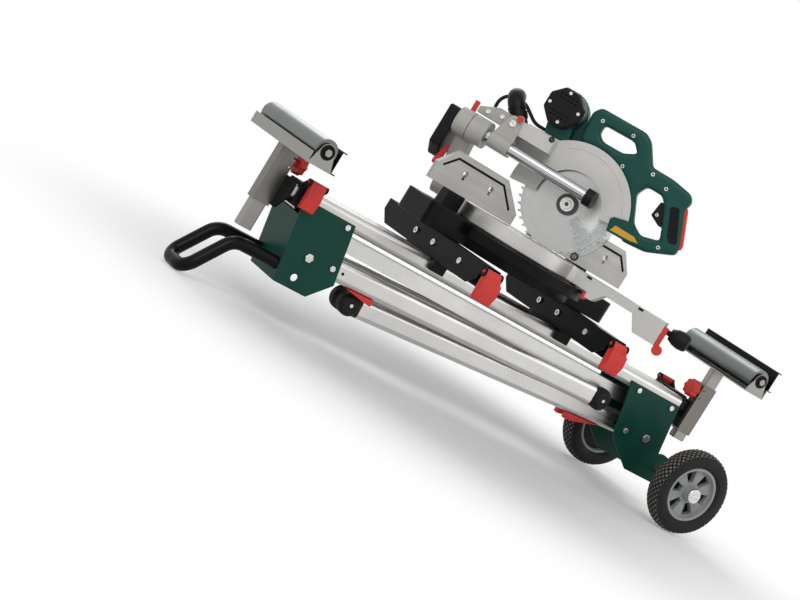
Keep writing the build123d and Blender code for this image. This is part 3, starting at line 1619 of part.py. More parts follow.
drive_angle = degrees(atan2(motor_z - blade_z, motor_k - blade_k))
drive_span = hypot(motor_k - blade_k, motor_z - blade_z)
with BuildPart() as motor_housing:
    with BuildSketch(blade_plane.offset(motor_right)):
        with Locations((motor_k, motor_z)):
            Circle(motor_radius)
    extrude(amount=motor_left - motor_right)
    with BuildSketch(blade_plane.offset(-guard_half_width)):
        Polygon(*motor_neck(), align=None)
        Polygon(*chute_outline, align=None, mode=Mode.SUBTRACT)
        with Locations(blade_middle):
            Circle(guard_radius + seat_gap, mode=Mode.SUBTRACT)
    extrude(amount=2 * guard_half_width)
    with BuildSketch(blade_plane.offset(drive_right)):
        with Locations(blade_middle):
            Circle(drive_hub_radius)
            with Locations(Rot(0, 0, drive_angle)):
                Polygon(
                    (0, -drive_hub_radius),
                    (drive_span, -drive_motor_radius),
                    (drive_span, drive_motor_radius),
                    (0, drive_hub_radius),
                    align=None,
                )
        with Locations((motor_k, motor_z)):
            Circle(drive_motor_radius)
    extrude(amount=-guard_half_width - drive_right)
    with BuildSketch(blade_plane.offset(drive_right)):
        with Locations(blade_middle):
            Circle(nose_radius)
    extrude(amount=flange_right - slide_gap - drive_right)
pieces["motor_housing"] = saw_place * motor_housing.part

with BuildPart() as motor_cap:
    with BuildSketch(blade_plane.offset(motor_left)):
        with Locations((motor_k, motor_z)):
            RegularPolygon(motor_cap_radius, 8, rotation=22.5)
    extrude(amount=motor_cap_depth, taper=8)
    with BuildSketch(blade_plane.offset(motor_left + motor_cap_depth - guard_wall)):
        with Locations((motor_k, motor_z)):
            for row in (-24, -16, 16, 24):
                with Locations((0, row)):
                    with GridLocations(9, 1, 5, 1):
                        SlotOverall(6, 3)
    extrude(amount=2 * guard_wall, mode=Mode.SUBTRACT)
pieces["motor_cap"] = saw_place * motor_cap.part


# Head handle, from the blade plane's outline
handle_outline = [
    (10, 642), (4, 700), (16, 717), (124, 719), (142, 708), (172, 664), (224, 664), (272, 656), (282, 642),
    (276, 624), (309, 548), (309, 532), (250, 505), (166, 497), (156, 528), (150, 560),
]
carry_opening = [(38, 690), (112, 692), (132, 672), (104, 657), (54, 656), (38, 668)]
grip_opening = [
    (172, 600), (184, 625), (222, 625), (238, 606), (268, 540), (226, 528), (200, 543), (184, 576),
]
trigger_outline = [(226, 612), (222, 578), (246, 566), (262, 566), (240, 614)]
with BuildPart() as head_handle:
    with BuildSketch(blade_plane.offset(-grip_half_width)):
        with BuildLine():
            Polyline(*handle_outline, close=True)
        make_face()
        with BuildLine():
            Polyline(*carry_opening, close=True)
        make_face(mode=Mode.SUBTRACT)
        with BuildLine():
            Polyline(*grip_opening, close=True)
        make_face(mode=Mode.SUBTRACT)
        with Locations(blade_middle):
            Circle(guard_radius + seat_gap, mode=Mode.SUBTRACT)
    extrude(amount=2 * grip_half_width)
    with BuildSketch(blade_plane.offset(-trigger_half_width - slide_gap)):
        with BuildLine():
            pocket_back = [(k + trigger_travel + slide_gap, z) for k, z in trigger_outline[3:]]
            Polyline(*trigger_outline[:3], *pocket_back, trigger_outline[4], close=True)
        make_face()
        offset(amount=slide_gap)
    extrude(amount=2 * (trigger_half_width + slide_gap), mode=Mode.SUBTRACT)
pieces["head_handle"] = saw_place * head_handle.part

with BuildPart() as trigger:
    with BuildSketch(blade_plane.offset(-trigger_half_width)):
        with BuildLine():
            Polyline(*trigger_outline, close=True)
        make_face()
    extrude(amount=2 * trigger_half_width)
pieces["trigger"] = saw_place * trigger.part


# Dust elbow on the chute's slanted mouth
elbow_foot_k = chute_back + chute_mouth / 2 * cos(elbow_tilt)
elbow_foot_z = chute_low + chute_mouth / 2 * sin(elbow_tilt)
elbow_top_k = elbow_foot_k - elbow_rise * sin(elbow_tilt)
elbow_top_z = elbow_foot_z + elbow_rise * cos(elbow_tilt)
with BuildPart() as dust_elbow:
    with BuildLine() as elbow_path:
        FilletPolyline(
            (0, -elbow_foot_k, elbow_foot_z),
            (0, -elbow_top_k, elbow_top_z),
            (elbow_tail, -elbow_top_k, elbow_top_z),
            radius=elbow_bend,
        )
    elbow_axis = (0, sin(elbow_tilt), cos(elbow_tilt))
    with BuildSketch(Plane(origin=(0, -elbow_foot_k, elbow_foot_z), x_dir=(1, 0, 0), z_dir=elbow_axis)):
        Circle(elbow_radius)
        Circle(elbow_radius - elbow_wall, mode=Mode.SUBTRACT)
    sweep(path=elbow_path.wires()[0])
pieces["dust_elbow"] = saw_place * dust_elbow.part


# Cable that leaves the drive case, loops behind the elbow and enters the case again
cable_points = [(cable_offset, -k, z) for k, z in cable_route]
with BuildPart() as power_cable:
    with BuildLine() as cable_path:
        FilletPolyline(*cable_points, radius=cable_bends)
    with BuildSketch(Plane(origin=cable_points[0], z_dir=(0, 1, 0))):
        Circle(cable_radius)
    sweep(path=cable_path.wires()[0])
pieces["power_cable"] = saw_place * power_cable.part


# The object's frame
frame_place = Pos(beam_place_x, beam_place_y, 0)
os.makedirs("parts", exist_ok=True)
for name, piece in pieces.items():
    piece = frame_place * piece
    piece.label = name
    pieces[name] = piece
    export_step(piece, f"parts/{name}.step")
print(len(pieces), "pieces")
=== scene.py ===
# %% [markdown]
# # A sliding mitre saw on a wheeled stand
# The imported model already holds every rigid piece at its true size: beam, legs, wheels, roller posts,
# carriers, saw base, table, slide tubes, head, guards and blade. This lesson dresses that frame. It rounds
# the edges that a press, a die or a mould would round, gives every surface a finish built from shader
# nodes, and adds the small pieces that show from a step away: tread, screws, washers, grip pads, collars
# and plugs.

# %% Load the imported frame
import json
from collections import namedtuple
from math import cos, pi, radians, sin

import bpy
from mathutils import Matrix, Vector

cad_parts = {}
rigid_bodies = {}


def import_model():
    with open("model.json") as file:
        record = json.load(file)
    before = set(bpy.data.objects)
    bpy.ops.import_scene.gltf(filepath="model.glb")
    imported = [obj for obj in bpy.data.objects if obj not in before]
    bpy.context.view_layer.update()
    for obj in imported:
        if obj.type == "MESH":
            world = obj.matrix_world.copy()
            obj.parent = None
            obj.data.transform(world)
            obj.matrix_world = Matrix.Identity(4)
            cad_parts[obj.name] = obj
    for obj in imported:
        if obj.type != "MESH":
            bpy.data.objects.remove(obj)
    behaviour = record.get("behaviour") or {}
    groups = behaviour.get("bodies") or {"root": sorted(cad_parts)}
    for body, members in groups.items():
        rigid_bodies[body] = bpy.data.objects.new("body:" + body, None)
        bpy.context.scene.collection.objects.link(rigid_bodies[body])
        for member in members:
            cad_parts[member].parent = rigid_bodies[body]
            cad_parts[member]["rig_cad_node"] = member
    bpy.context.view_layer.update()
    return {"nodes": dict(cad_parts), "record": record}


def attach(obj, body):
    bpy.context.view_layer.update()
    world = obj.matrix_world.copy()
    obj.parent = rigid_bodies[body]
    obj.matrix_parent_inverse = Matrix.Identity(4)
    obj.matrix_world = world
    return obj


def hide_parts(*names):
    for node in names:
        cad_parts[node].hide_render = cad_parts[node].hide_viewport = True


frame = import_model()
nodes = frame["nodes"]

# %% [markdown]
# ## Two rulers
# The stand is measured in millimetres from the middle of its beam, X along the beam, Z up from the floor.
# The saw is turned 45 degrees on it, so its own pieces are easier to place by three other numbers: forward
# from the mitre axis, to the right, and up. Small functions turn both into the model's metres.

# %% Rulers
BEAM_MIDDLE = (28.75, 40.7419)
MITRE_AXIS = (-40.0, 20.0)
MITRE_TURN = -45
MM = 0.001


def on_stand(x, y, z):
    """Point of the stand, in millimetres from the beam's middle, as metres in the model."""
    return Vector((x + BEAM_MIDDLE[0], y + BEAM_MIDDLE[1], z)) * MM


# Forward is X, right is Y and up is Z in the saw's own frame
saw_frame = Matrix.Translation(on_stand(*MITRE_AXIS, 0)) @ Matrix.Rotation(radians(MITRE_TURN), 4, "Z")
to_saw = saw_frame.inverted()


def on_saw(forward, right, up):
    """Point of the saw, in millimetres from the mitre axis, as metres in the model."""
    return saw_frame @ (Vector((forward, right, up)) * MM)


def saw_way(forward, right, up):
    """Step along the saw's own axes, in millimetres, as metres in the model."""
    return saw_frame.to_3x3() @ (Vector((forward, right, up)) * MM)


LEFT = saw_way(0, -1, 0).normalized()
FORWARD = saw_way(1, 0, 0).normalized()
NEAR = (0, -1, 0)
FAR = (0, 1, 0)
print("mitre axis at", [round(c, 4) for c in on_saw(0, 0, 0)])
print("left of the saw is", [round(c, 3) for c in LEFT])

# %% [markdown]
# ## The camera
# The stand is photographed while it is pulled along, so the picture is rolled by about 31 degrees against
# the floor. A long lens keeps the far roller nearly as large as the near one. The camera's three axes are
# written as the columns of a matrix, which is plainer than hunting for three rotation angles.

# %% Camera
camera_place = on_stand(-2516, -3468, 497)
camera_right = Vector((0.7354, -0.4352, 0.5194))
camera_up = Vector((-0.3960, 0.3460, 0.8505))
camera_back = Vector((-0.5498, -0.8312, 0.0821))
bpy.ops.object.select_all(action="DESELECT")
bpy.ops.object.camera_add()
camera = bpy.context.object
camera.data.lens = 90
camera.data.sensor_width = 36
camera.data.clip_end = 100
camera_turn = Matrix((camera_right, camera_up, camera_back)).transposed().to_4x4()
camera.matrix_world = Matrix.Translation(camera_place) @ camera_turn
bpy.context.scene.camera = camera
print("camera at", [round(c, 3) for c in camera_place])

# %% [markdown]
# ## Light and floor
# A studio cut-out has even light from all round. One world colour could give it, but a world bright enough
# for a white ground would wash the shadows out. So the world is white to rays that see it, from the camera,
# a mirror or through clear plastic, and dimmer as a light. A Light Path node tells these rays apart.

# %% World
scene = bpy.context.scene
scene.view_settings.view_transform = "Standard"
world = bpy.data.worlds.new("studio")
scene.world = world
world.use_nodes = True
tree = world.node_tree
tree.nodes.clear()


def seen_rays(tree):
    """Value of 1 for rays that see the background: from the camera, a mirror or through glass."""
    path = tree.nodes.new("ShaderNodeLightPath")
    total = None
    for kind in ("Is Camera Ray", "Is Glossy Ray", "Is Transmission Ray"):
        if total is None:
            total = path.outputs[kind]
            continue
        larger = tree.nodes.new("ShaderNodeMath")
        larger.operation = "MAXIMUM"
        tree.links.new(total, larger.inputs[0])
        tree.links.new(path.outputs[kind], larger.inputs[1])
        total = larger.outputs[0]
    return total


dim = tree.nodes.new("ShaderNodeBackground")
dim.inputs["Color"].default_value = (0.95, 0.97, 1.0, 1)
dim.inputs["Strength"].default_value = 0.32
bright = tree.nodes.new("ShaderNodeBackground")
bright.inputs["Color"].default_value = (1, 1, 1, 1)
bright.inputs["Strength"].default_value = 1.0
mix = tree.nodes.new("ShaderNodeMixShader")
out = tree.nodes.new("ShaderNodeOutputWorld")
tree.links.new(seen_rays(tree), mix.inputs[0])
tree.links.new(dim.outputs[0], mix.inputs[1])
tree.links.new(bright.outputs[0], mix.inputs[2])
tree.links.new(mix.outputs[0], out.inputs[0])
print("world nodes", len(tree.nodes))

# %% [markdown]
# Three square area lamps stand for softboxes: a broad key above the camera's shoulder, a cooler fill from
# the other side, and one behind that draws a bright edge along the tubes. A large lamp gives the soft
# shadow that a point lamp can't.

# %% Lamps


def softbox(name, place, target, size, watts, colour):
    """Square area lamp at a place, aimed at a target, both in metres."""
    bpy.ops.object.select_all(action="DESELECT")
    bpy.ops.object.light_add(type="AREA", location=place)
    lamp = bpy.context.object
    lamp.name = name
    lamp.data.shape = "SQUARE"
    lamp.data.size = size
    lamp.data.energy = watts
    lamp.data.color = colour
    lamp.rotation_euler = (Vector(target) - Vector(place)).to_track_quat("-Z", "Y").to_euler()
    return lamp


key = softbox("key_lamp", (-2.4, -2.6, 3.0), (0, 0, 0.35), size=2.2, watts=72, colour=(1.0, 0.98, 0.95))
fill = softbox("fill_lamp", (2.6, -2.8, 1.6), (0, 0, 0.35), size=2.4, watts=20, colour=(0.95, 0.97, 1.0))
rim_lamp = softbox("rim_lamp", (0.6, 3.0, 2.6), (0, 0, 0.4), size=2.0, watts=36, colour=(1.0, 1.0, 1.0))
print("lamps", key.data.energy, fill.data.energy, rim_lamp.data.energy)

# %% [markdown]
# The floor is a pale sheet that takes the shadow near the stand and turns into plain white further out, so
# that no horizon line shows. The distance from the middle drives the fade, and only for rays that see it.

# %% Floor
FLOOR_RADIUS = 40
FLOOR_SINK = 0.0005
FADE_START = 0.35
FADE_END = 1.15
bpy.ops.object.select_all(action="DESELECT")
bpy.ops.mesh.primitive_circle_add(
    vertices=96, radius=FLOOR_RADIUS, fill_type="NGON", location=(0, 0, -FLOOR_SINK)
)
floor = bpy.context.object
floor.name = "floor"
floor_paint = bpy.data.materials.new("floor_paint")
floor_paint.use_nodes = True
tree = floor_paint.node_tree
sheet = tree.nodes["Principled BSDF"]
sheet.inputs["Base Color"].default_value = (0.93, 0.93, 0.93, 1)
sheet.inputs["Roughness"].default_value = 0.75
coords = tree.nodes.new("ShaderNodeTexCoord")
distance = tree.nodes.new("ShaderNodeVectorMath")
distance.operation = "LENGTH"
fade = tree.nodes.new("ShaderNodeMapRange")
fade.interpolation_type = "SMOOTHSTEP"
fade.inputs["From Min"].default_value = FADE_START
fade.inputs["From Max"].default_value = FADE_END
glow = tree.nodes.new("ShaderNodeEmission")
glow.inputs["Strength"].default_value = 1.0
mix = tree.nodes.new("ShaderNodeMixShader")
white = tree.nodes.new("ShaderNodeMath")
white.operation = "MULTIPLY"
tree.links.new(coords.outputs["Object"], distance.inputs[0])
tree.links.new(distance.outputs["Value"], fade.inputs["Value"])
tree.links.new(fade.outputs["Result"], white.inputs[0])
tree.links.new(seen_rays(tree), white.inputs[1])
tree.links.new(white.outputs[0], mix.inputs[0])
tree.links.new(sheet.outputs[0], mix.inputs[1])
tree.links.new(glow.outputs[0], mix.inputs[2])
tree.links.new(mix.outputs[0], tree.nodes["Material Output"].inputs["Surface"])
floor.data.materials.append(floor_paint)
print("floor fades from", FADE_START, "to", FADE_END, "metres")

# %% [markdown]
# ## Finishes
# Every finish starts from one Principled shader. A few helpers add what a real surface has: a noise that
# changes the colour a little, one that breaks up the gloss, and one that lifts the surface. They all read
# Object coordinates, so the pattern has a real size in metres and stays put when a piece moves.

# %% Finish helpers
SHADE_RANGE = (0.35, 0.65)
GLOSS_RANGE = (0.3, 0.7)


def plain_finish(name, colour, roughness, metallic=0.0):
    """New material with one Principled shader: the material, its tree and the shader."""
    material = bpy.data.materials.new(name)
    material.use_nodes = True
    shader = material.node_tree.nodes["Principled BSDF"]
    shader.inputs["Base Color"].default_value = (*colour, 1)
    shader.inputs["Roughness"].default_value = roughness
    shader.inputs["Metallic"].default_value = metallic
    return material, material.node_tree, shader


def grain(tree, scale, stretch=(1, 1, 1), detail=3.0):
    """Noise in the piece's own metres; stretch above 1 packs it closer along that axis."""
    coords = tree.nodes.new("ShaderNodeTexCoord")
    mapping = tree.nodes.new("ShaderNodeMapping")
    mapping.inputs["Scale"].default_value = stretch
    noise = tree.nodes.new("ShaderNodeTexNoise")
    noise.inputs["Scale"].default_value = scale
    noise.inputs["Detail"].default_value = detail
    tree.links.new(coords.outputs["Object"], mapping.inputs["Vector"])
    tree.links.new(mapping.outputs["Vector"], noise.inputs["Vector"])
    return noise.outputs["Fac"]


def shade(tree, shader, value, dark, light):
    """Colour between dark and light, by a value."""
    ramp = tree.nodes.new("ShaderNodeValToRGB")
    for element, position, colour in zip(ramp.color_ramp.elements, SHADE_RANGE, (dark, light)):
        element.position = position
        element.color = (*colour, 1)
    tree.links.new(value, ramp.inputs["Fac"])
    tree.links.new(ramp.outputs["Color"], shader.inputs["Base Color"])


def gloss(tree, shader, value, smooth, rough):
    """Roughness between smooth and rough, by a value."""
    span = tree.nodes.new("ShaderNodeMapRange")
    span.inputs["From Min"].default_value = GLOSS_RANGE[0]
    span.inputs["From Max"].default_value = GLOSS_RANGE[1]
    span.inputs["To Min"].default_value = smooth
    span.inputs["To Max"].default_value = rough
    tree.links.new(value, span.inputs["Value"])
    tree.links.new(span.outputs["Result"], shader.inputs["Roughness"])


def relief(tree, shader, value, depth, strength):
    """Bump of a depth in metres, by a value."""
    bump = tree.nodes.new("ShaderNodeBump")
    bump.inputs["Strength"].default_value = strength
    bump.inputs["Distance"].default_value = depth
    tree.links.new(value, bump.inputs["Height"])
    tree.links.new(bump.outputs["Normal"], shader.inputs["Normal"])


print("finish helpers ready")

# %% [markdown]
# Drawn and extruded aluminium shows fine lines along its length. The same noise, stretched a hundredfold
# along one axis, gives them. The stand has lengths along X and posts along Z, so the axis is an argument.
# Rollers, yokes and chromed tubes are smooth, and such lines would sparkle on them, so they only get a
# gloss that is a little cloudy.

# %% Metals
ALONG_X = (0.012, 1, 1)
ALONG_Z = (1, 1, 0.012)
ACROSS_TABLE = (0.05, 0.05, 1)
LINE_SCALE = 420
CLOUD_SCALE = 9
CLOUD_DARK = 0.90


def drawn_metal(name, colour, stretch, smooth, rough):
    """Metal with fine lines along one axis."""
    material, tree, shader = plain_finish(name, colour, smooth, 1.0)
    lines = grain(tree, LINE_SCALE, stretch, detail=2.0)
    gloss(tree, shader, lines, smooth, rough)
    shade(tree, shader, grain(tree, CLOUD_SCALE), [c * CLOUD_DARK for c in colour], colour)
    relief(tree, shader, lines, depth=0.03 * MM, strength=0.08)
    return material


def smooth_metal(name, colour, scale, smooth, rough):
    """Metal without lines, whose gloss is a little cloudy."""
    material, tree, shader = plain_finish(name, colour, smooth, 1.0)
    gloss(tree, shader, grain(tree, scale, detail=2.0), smooth, rough)
    return material


beam_metal = drawn_metal("beam_metal", (0.58, 0.57, 0.55), ALONG_X, 0.26, 0.40)
leg_metal = drawn_metal("leg_metal", (0.66, 0.65, 0.63), ALONG_X, 0.26, 0.40)
post_metal = drawn_metal("post_metal", (0.19, 0.18, 0.165), ALONG_Z, 0.30, 0.45)
fence_metal = drawn_metal("fence_metal", (0.36, 0.35, 0.33), ALONG_X, 0.34, 0.50)
table_metal = drawn_metal("table_metal", (0.52, 0.51, 0.49), ACROSS_TABLE, 0.26, 0.40)
yoke_metal = smooth_metal("yoke_metal", (0.30, 0.29, 0.27), 14, 0.38, 0.48)
roller_metal = smooth_metal("roller_metal", (0.17, 0.185, 0.18), 14, 0.32, 0.40)
tube_chrome = smooth_metal("tube_chrome", (0.44, 0.45, 0.46), 12, 0.08, 0.13)
zinc, tree, shader = plain_finish("zinc", (0.70, 0.70, 0.67), 0.3, 1.0)
gloss(tree, shader, grain(tree, 700, detail=2.0), 0.18, 0.40)
shade(tree, shader, grain(tree, 260), (0.52, 0.52, 0.50), (0.74, 0.73, 0.70))
dark_steel, tree, shader = plain_finish("dark_steel", (0.06, 0.06, 0.06), 0.35, 0.9)
gloss(tree, shader, grain(tree, 500), 0.25, 0.45)
print("metals ready")

# %% [markdown]
# Paint and cast coats are not metal in the shader: they are a coloured layer with a soft gloss. A powder
# coat has a fine orange peel, and a cast coat is duller with small pits. Moulded plastic has a spark-eroded
# grain of about half a millimetre, and rubber is darker and rougher. The tops of a tyre's tread blocks have
# a lighter finish of their own, partly dust and partly a painted highlight. One function with a few numbers
# gives them all, and they can then be tuned side by side.

# %% Paints, castings, plastics and rubber
STAIN_SCALE = 14


def coated(name, colour, smooth, rough, peel, depth, dark=0.86, sheen=0.3):
    """Paint, cast coat or plastic, with a relief whose size and depth are in millimetres."""
    material, tree, shader = plain_finish(name, colour, smooth)
    shader.inputs["Specular IOR Level"].default_value = sheen
    fine = grain(tree, 1 / (peel * MM), detail=2.0)
    wide = grain(tree, STAIN_SCALE, detail=4.0)
    shade(tree, shader, wide, [c * dark for c in colour], colour)
    gloss(tree, shader, wide, smooth, rough)
    relief(tree, shader, fine, depth * MM, strength=0.35)
    return material


# After the colour: smooth and rough gloss, size and depth of the relief, darkest share and sheen
green_coat = coated("green_coat", (0.005, 0.060, 0.043), 0.30, 0.42, 1.2, 0.08, sheen=0.16)
black_coat = coated("black_coat", (0.006, 0.0055, 0.0055), 0.24, 0.38, 1.0, 0.06, sheen=0.10)
guard_coat = coated("guard_coat", (0.68, 0.67, 0.64), 0.36, 0.50, 0.8, 0.10, dark=0.93)
casting_coat = coated("casting_coat", (0.50, 0.49, 0.46), 0.34, 0.52, 0.9, 0.16, dark=0.88)
arm_coat = coated("arm_coat", (0.66, 0.65, 0.62), 0.36, 0.50, 0.8, 0.10, dark=0.93)
green_mould = coated("green_mould", (0.006, 0.070, 0.056), 0.36, 0.48, 0.5, 0.06, sheen=0.2)
black_mould = coated("black_mould", (0.009, 0.009, 0.010), 0.36, 0.52, 0.5, 0.08, sheen=0.13)
red_mould = coated("red_mould", (0.72, 0.052, 0.042), 0.30, 0.42, 0.6, 0.05, dark=0.92, sheen=0.25)
grey_mould = coated("grey_mould", (0.38, 0.39, 0.39), 0.36, 0.50, 0.6, 0.06, dark=0.92)
soft_grip = coated("soft_grip", (0.010, 0.010, 0.010), 0.62, 0.80, 0.8, 0.15, sheen=0.15)
tyre_rubber = coated("tyre_rubber", (0.008, 0.008, 0.008), 0.50, 0.66, 0.9, 0.10, sheen=0.25)
# Lighter tread tops: partly dust, partly a painted highlight
tread_dust_and_highlight = coated("tread_dust_and_highlight", (0.20, 0.182, 0.155), 0.70, 0.88, 0.9, 0.15, dark=0.55, sheen=0.15)
foot_rubber = coated("foot_rubber", (0.008, 0.008, 0.008), 0.40, 0.60, 0.9, 0.10, sheen=0.2)
plate_yellow = coated("plate_yellow", (0.72, 0.40, 0.045), 0.32, 0.42, 0.8, 0.03, dark=0.94)
print("coats ready")

# %% [markdown]
# The blade is ground in circles, so its lines run round its own middle. An image of rings could be laid on
# it, but the distance from that middle, fed to a one-dimensional noise, gives rings of any fineness. The
# shader's tangent follows the same circles, which draws the two bright fans that ground steel has.

# %% Blade steel
BLADE_FORWARD = 59
BLADE_UP = 505
blade_middle = on_saw(BLADE_FORWARD, 0, BLADE_UP)
blade_steel, tree, shader = plain_finish("blade_steel", (0.46, 0.46, 0.45), 0.24, 1.0)
coords = tree.nodes.new("ShaderNodeTexCoord")
offset = tree.nodes.new("ShaderNodeVectorMath")
offset.operation = "DISTANCE"
offset.inputs[1].default_value = blade_middle
rings = tree.nodes.new("ShaderNodeTexNoise")
rings.noise_dimensions = "1D"
rings.inputs["Scale"].default_value = 900
rings.inputs["Detail"].default_value = 2
tree.links.new(coords.outputs["Object"], offset.inputs[0])
tree.links.new(offset.outputs["Value"], rings.inputs["W"])
gloss(tree, shader, rings.outputs["Fac"], 0.26, 0.36)
shade(tree, shader, rings.outputs["Fac"], (0.40, 0.40, 0.39), (0.54, 0.54, 0.53))
from_middle = tree.nodes.new("ShaderNodeVectorMath")
from_middle.operation = "SUBTRACT"
from_middle.inputs[1].default_value = blade_middle
along_rings = tree.nodes.new("ShaderNodeVectorMath")
along_rings.operation = "CROSS_PRODUCT"
along_rings.inputs[1].default_value = saw_way(0, 1, 0)
tree.links.new(coords.outputs["Object"], from_middle.inputs[0])
tree.links.new(from_middle.outputs["Vector"], along_rings.inputs[0])
tree.links.new(along_rings.outputs["Vector"], shader.inputs["Tangent"])
shader.inputs["Anisotropic"].default_value = 0.8
print("blade middle", [round(c, 4) for c in blade_middle])

# %% [markdown]
# The swinging guard is clear plastic. Full transmission would make it vanish in front of the blade, so a
# small share stays a plain surface, with a little tint and faint scuffs in the gloss.

# %% Clear plastic
clear_plastic, tree, shader = plain_finish("clear_plastic", (0.90, 0.93, 0.93), 0.06)
shader.inputs["Transmission Weight"].default_value = 0.84
shader.inputs["IOR"].default_value = 1.46
gloss(tree, shader, grain(tree, 25, (1, 1, 2)), 0.03, 0.14)
print("clear plastic ready")

# %% [markdown]
# ## Rounded edges
# A solid from a CAD kernel has edges as sharp as a razor, and no light catches on them. Sheet metal, die
# castings and mouldings all have a small radius. Each such node is copied, its triangles are merged back
# into flat faces, a Bevel modifier rounds the edges, and weighted normals keep the flats flat. The copy
# then stands for the node and moves with the node's body.

# %% Rounding helpers
BEVEL_ANGLE = radians(32)
CREASE_ANGLE = radians(40)
node_body = {n: b for b, members in frame["record"]["behaviour"]["bodies"].items() for n in members}


def choose(piece):
    """Select one object alone and make it the active one."""
    bpy.ops.object.select_all(action="DESELECT")
    piece.select_set(True)
    bpy.context.view_layer.objects.active = piece


def apply_modifiers(piece):
    """Apply every modifier of a piece, in order."""
    bpy.context.view_layer.objects.active = piece
    for modifier in list(piece.modifiers):
        bpy.ops.object.modifier_apply(modifier=modifier.name)


def round_edges(piece, width, segments=2):
    """Round a piece's edges by a width in millimetres and keep its flats flat."""
    bevel = piece.modifiers.new("rounding", "BEVEL")
    bevel.width = width * MM
    bevel.segments = segments
    bevel.limit_method = "ANGLE"
    bevel.angle_limit = BEVEL_ANGLE
    bevel.use_clamp_overlap = True
    bevel.miter_outer = "MITER_ARC"
    apply_modifiers(piece)
    bpy.ops.object.shade_smooth_by_angle(angle=CREASE_ANGLE)
    piece.modifiers.new("flats", "WEIGHTED_NORMAL").keep_sharp = True
    apply_modifiers(piece)


def soften(node, width, finish, segments=2):
    """Rounded copy of a CAD node, in place of the node."""
    piece = nodes[node].copy()
    piece.data = nodes[node].data.copy()
    bpy.context.collection.objects.link(piece)
    piece.name = node + "_shown"
    del piece["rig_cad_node"]
    piece.parent = None
    choose(piece)
    bpy.ops.object.mode_set(mode="EDIT")
    bpy.ops.mesh.select_all(action="SELECT")
    bpy.ops.mesh.remove_doubles(threshold=0.01 * MM)
    bpy.ops.mesh.dissolve_limited(angle_limit=radians(1.0))
    bpy.ops.object.mode_set(mode="OBJECT")
    round_edges(piece, width, segments)
    piece.data.materials.clear()
    piece.data.materials.append(finish)
    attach(piece, node_body[node])
    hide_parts(node)
    return piece


print("rounding helpers ready")

# %% [markdown]
# On the stand, bent sheet has about the radius of its own thickness and levers are rounder, to be kind to a
# hand. The number beside each node is that radius in millimetres.

# %% Round the stand's pieces
for node, width, finish in (
    ("left_end_bracket", 1.2, green_coat),
    ("right_end_bracket", 1.2, green_coat),
    ("extension_clamps", 2.0, black_mould),
    ("extension_lever_left", 3.0, red_mould),
    ("extension_lever_right", 3.0, red_mould),
    ("post_socket_left", 2.0, black_mould),
    ("post_socket_right", 2.0, black_mould),
    ("outer_post_left", 0.9, post_metal),
    ("outer_post_right", 0.9, post_metal),
    ("roller_post_left", 0.9, yoke_metal),
    ("roller_post_right", 0.9, yoke_metal),
    ("stop_plate_left", 0.8, black_coat),
    ("stop_plate_right", 0.8, black_coat),
    ("post_knob_left", 1.6, red_mould),
    ("post_knob_right", 1.6, red_mould),
    ("frame_bolts", 0.9, zinc),
    ("saw_carrier_left", 1.0, black_coat),
    ("saw_carrier_right", 1.0, black_coat),
    ("carrier_lever_left", 4.0, red_mould),
    ("carrier_lever_right", 4.0, red_mould),
    ("rim_front", 1.6, grey_mould),
    ("rim_rear", 1.6, grey_mould),
    ("wheel_axle", 1.4, zinc),
):
    soften(node, width, finish)
print("stand pieces rounded")

# %% [markdown]
# On the saw, machined faces keep crisp edges and moulded ones get a broad radius. The rear cover has the
# broadest, and one more step in its rounding. The table and its arm are one casting, machined on top and
# painted along the arm, so the arm's faces take a second finish by their place.

# %% Round the saw's pieces
ARM_START = 154.5
for node, width, finish, segments in (
    ("saw_base", 2.5, black_coat, 2),
    ("fence_left", 1.2, fence_metal, 2),
    ("fence_right", 1.2, fence_metal, 2),
    ("turntable", 1.5, table_metal, 2),
    ("rear_cover", 5.0, black_mould, 3),
    ("bevel_lever", 3.0, red_mould, 2),
    ("head_lock", 2.0, red_mould, 2),
    ("slide_lock", 2.0, red_mould, 2),
    ("mitre_lever", 2.5, red_mould, 2),
    ("upper_guard", 1.8, guard_coat, 2),
    ("trigger", 2.5, black_mould, 2),
    ("blade_flange", 1.0, dark_steel, 2),
):
    soften(node, width, finish, segments)
table = bpy.data.objects["turntable_shown"]
table.data.materials.append(arm_coat)
for face in table.data.polygons:
    if (to_saw @ face.center).x > ARM_START * MM:
        face.material_index = 1
print("saw pieces rounded")

# %% [markdown]
# Handles, caps and castings are round all over, more than a bevel can give where many short edges meet.
# These are re-skinned with small even voxels and then smoothed, which melts the edges as in a mould.
# Smoothing also shrinks a form, so a small swell gives its size back. The motor's cap keeps the sharp vents
# in its middle: only the rim outside that core is smoothed.

# %% Moulded handles and castings
SEED_ROUNDING = 0.2
SWELL_SHARE = 1 / 150
CAP_MIDDLE = (-50, 675)
CAP_CORE = 37.0


def mould(node, voxel, passes, finish, core_middle=None, core_radius=0.0):
    """Copy of a CAD node as round as a moulding, in place of the node; a core keeps its sharp detail."""
    piece = soften(node, SEED_ROUNDING, finish, segments=1)
    remesh = piece.modifiers.new("skin", "REMESH")
    remesh.mode = "VOXEL"
    remesh.voxel_size = voxel * MM
    smooth = piece.modifiers.new("wax", "SMOOTH")
    smooth.factor = 0.5
    smooth.iterations = passes
    swell = piece.modifiers.new("swell", "DISPLACE")
    swell.mid_level = 0.0
    swell.strength = voxel * passes * MM * SWELL_SHARE
    if core_middle:
        bpy.ops.object.modifier_apply(modifier=remesh.name)
        rim = piece.vertex_groups.new(name="rim")
        middle = Vector(core_middle) * MM
        for point in piece.data.vertices:
            place = to_saw @ point.co
            if (Vector((place.x, place.z)) - middle).length > core_radius * MM:
                rim.add([point.index], 1.0, "REPLACE")
        smooth.vertex_group = rim.name
    apply_modifiers(piece)
    bpy.ops.object.shade_smooth()
    piece.data.materials.clear()
    piece.data.materials.append(finish)
    return piece


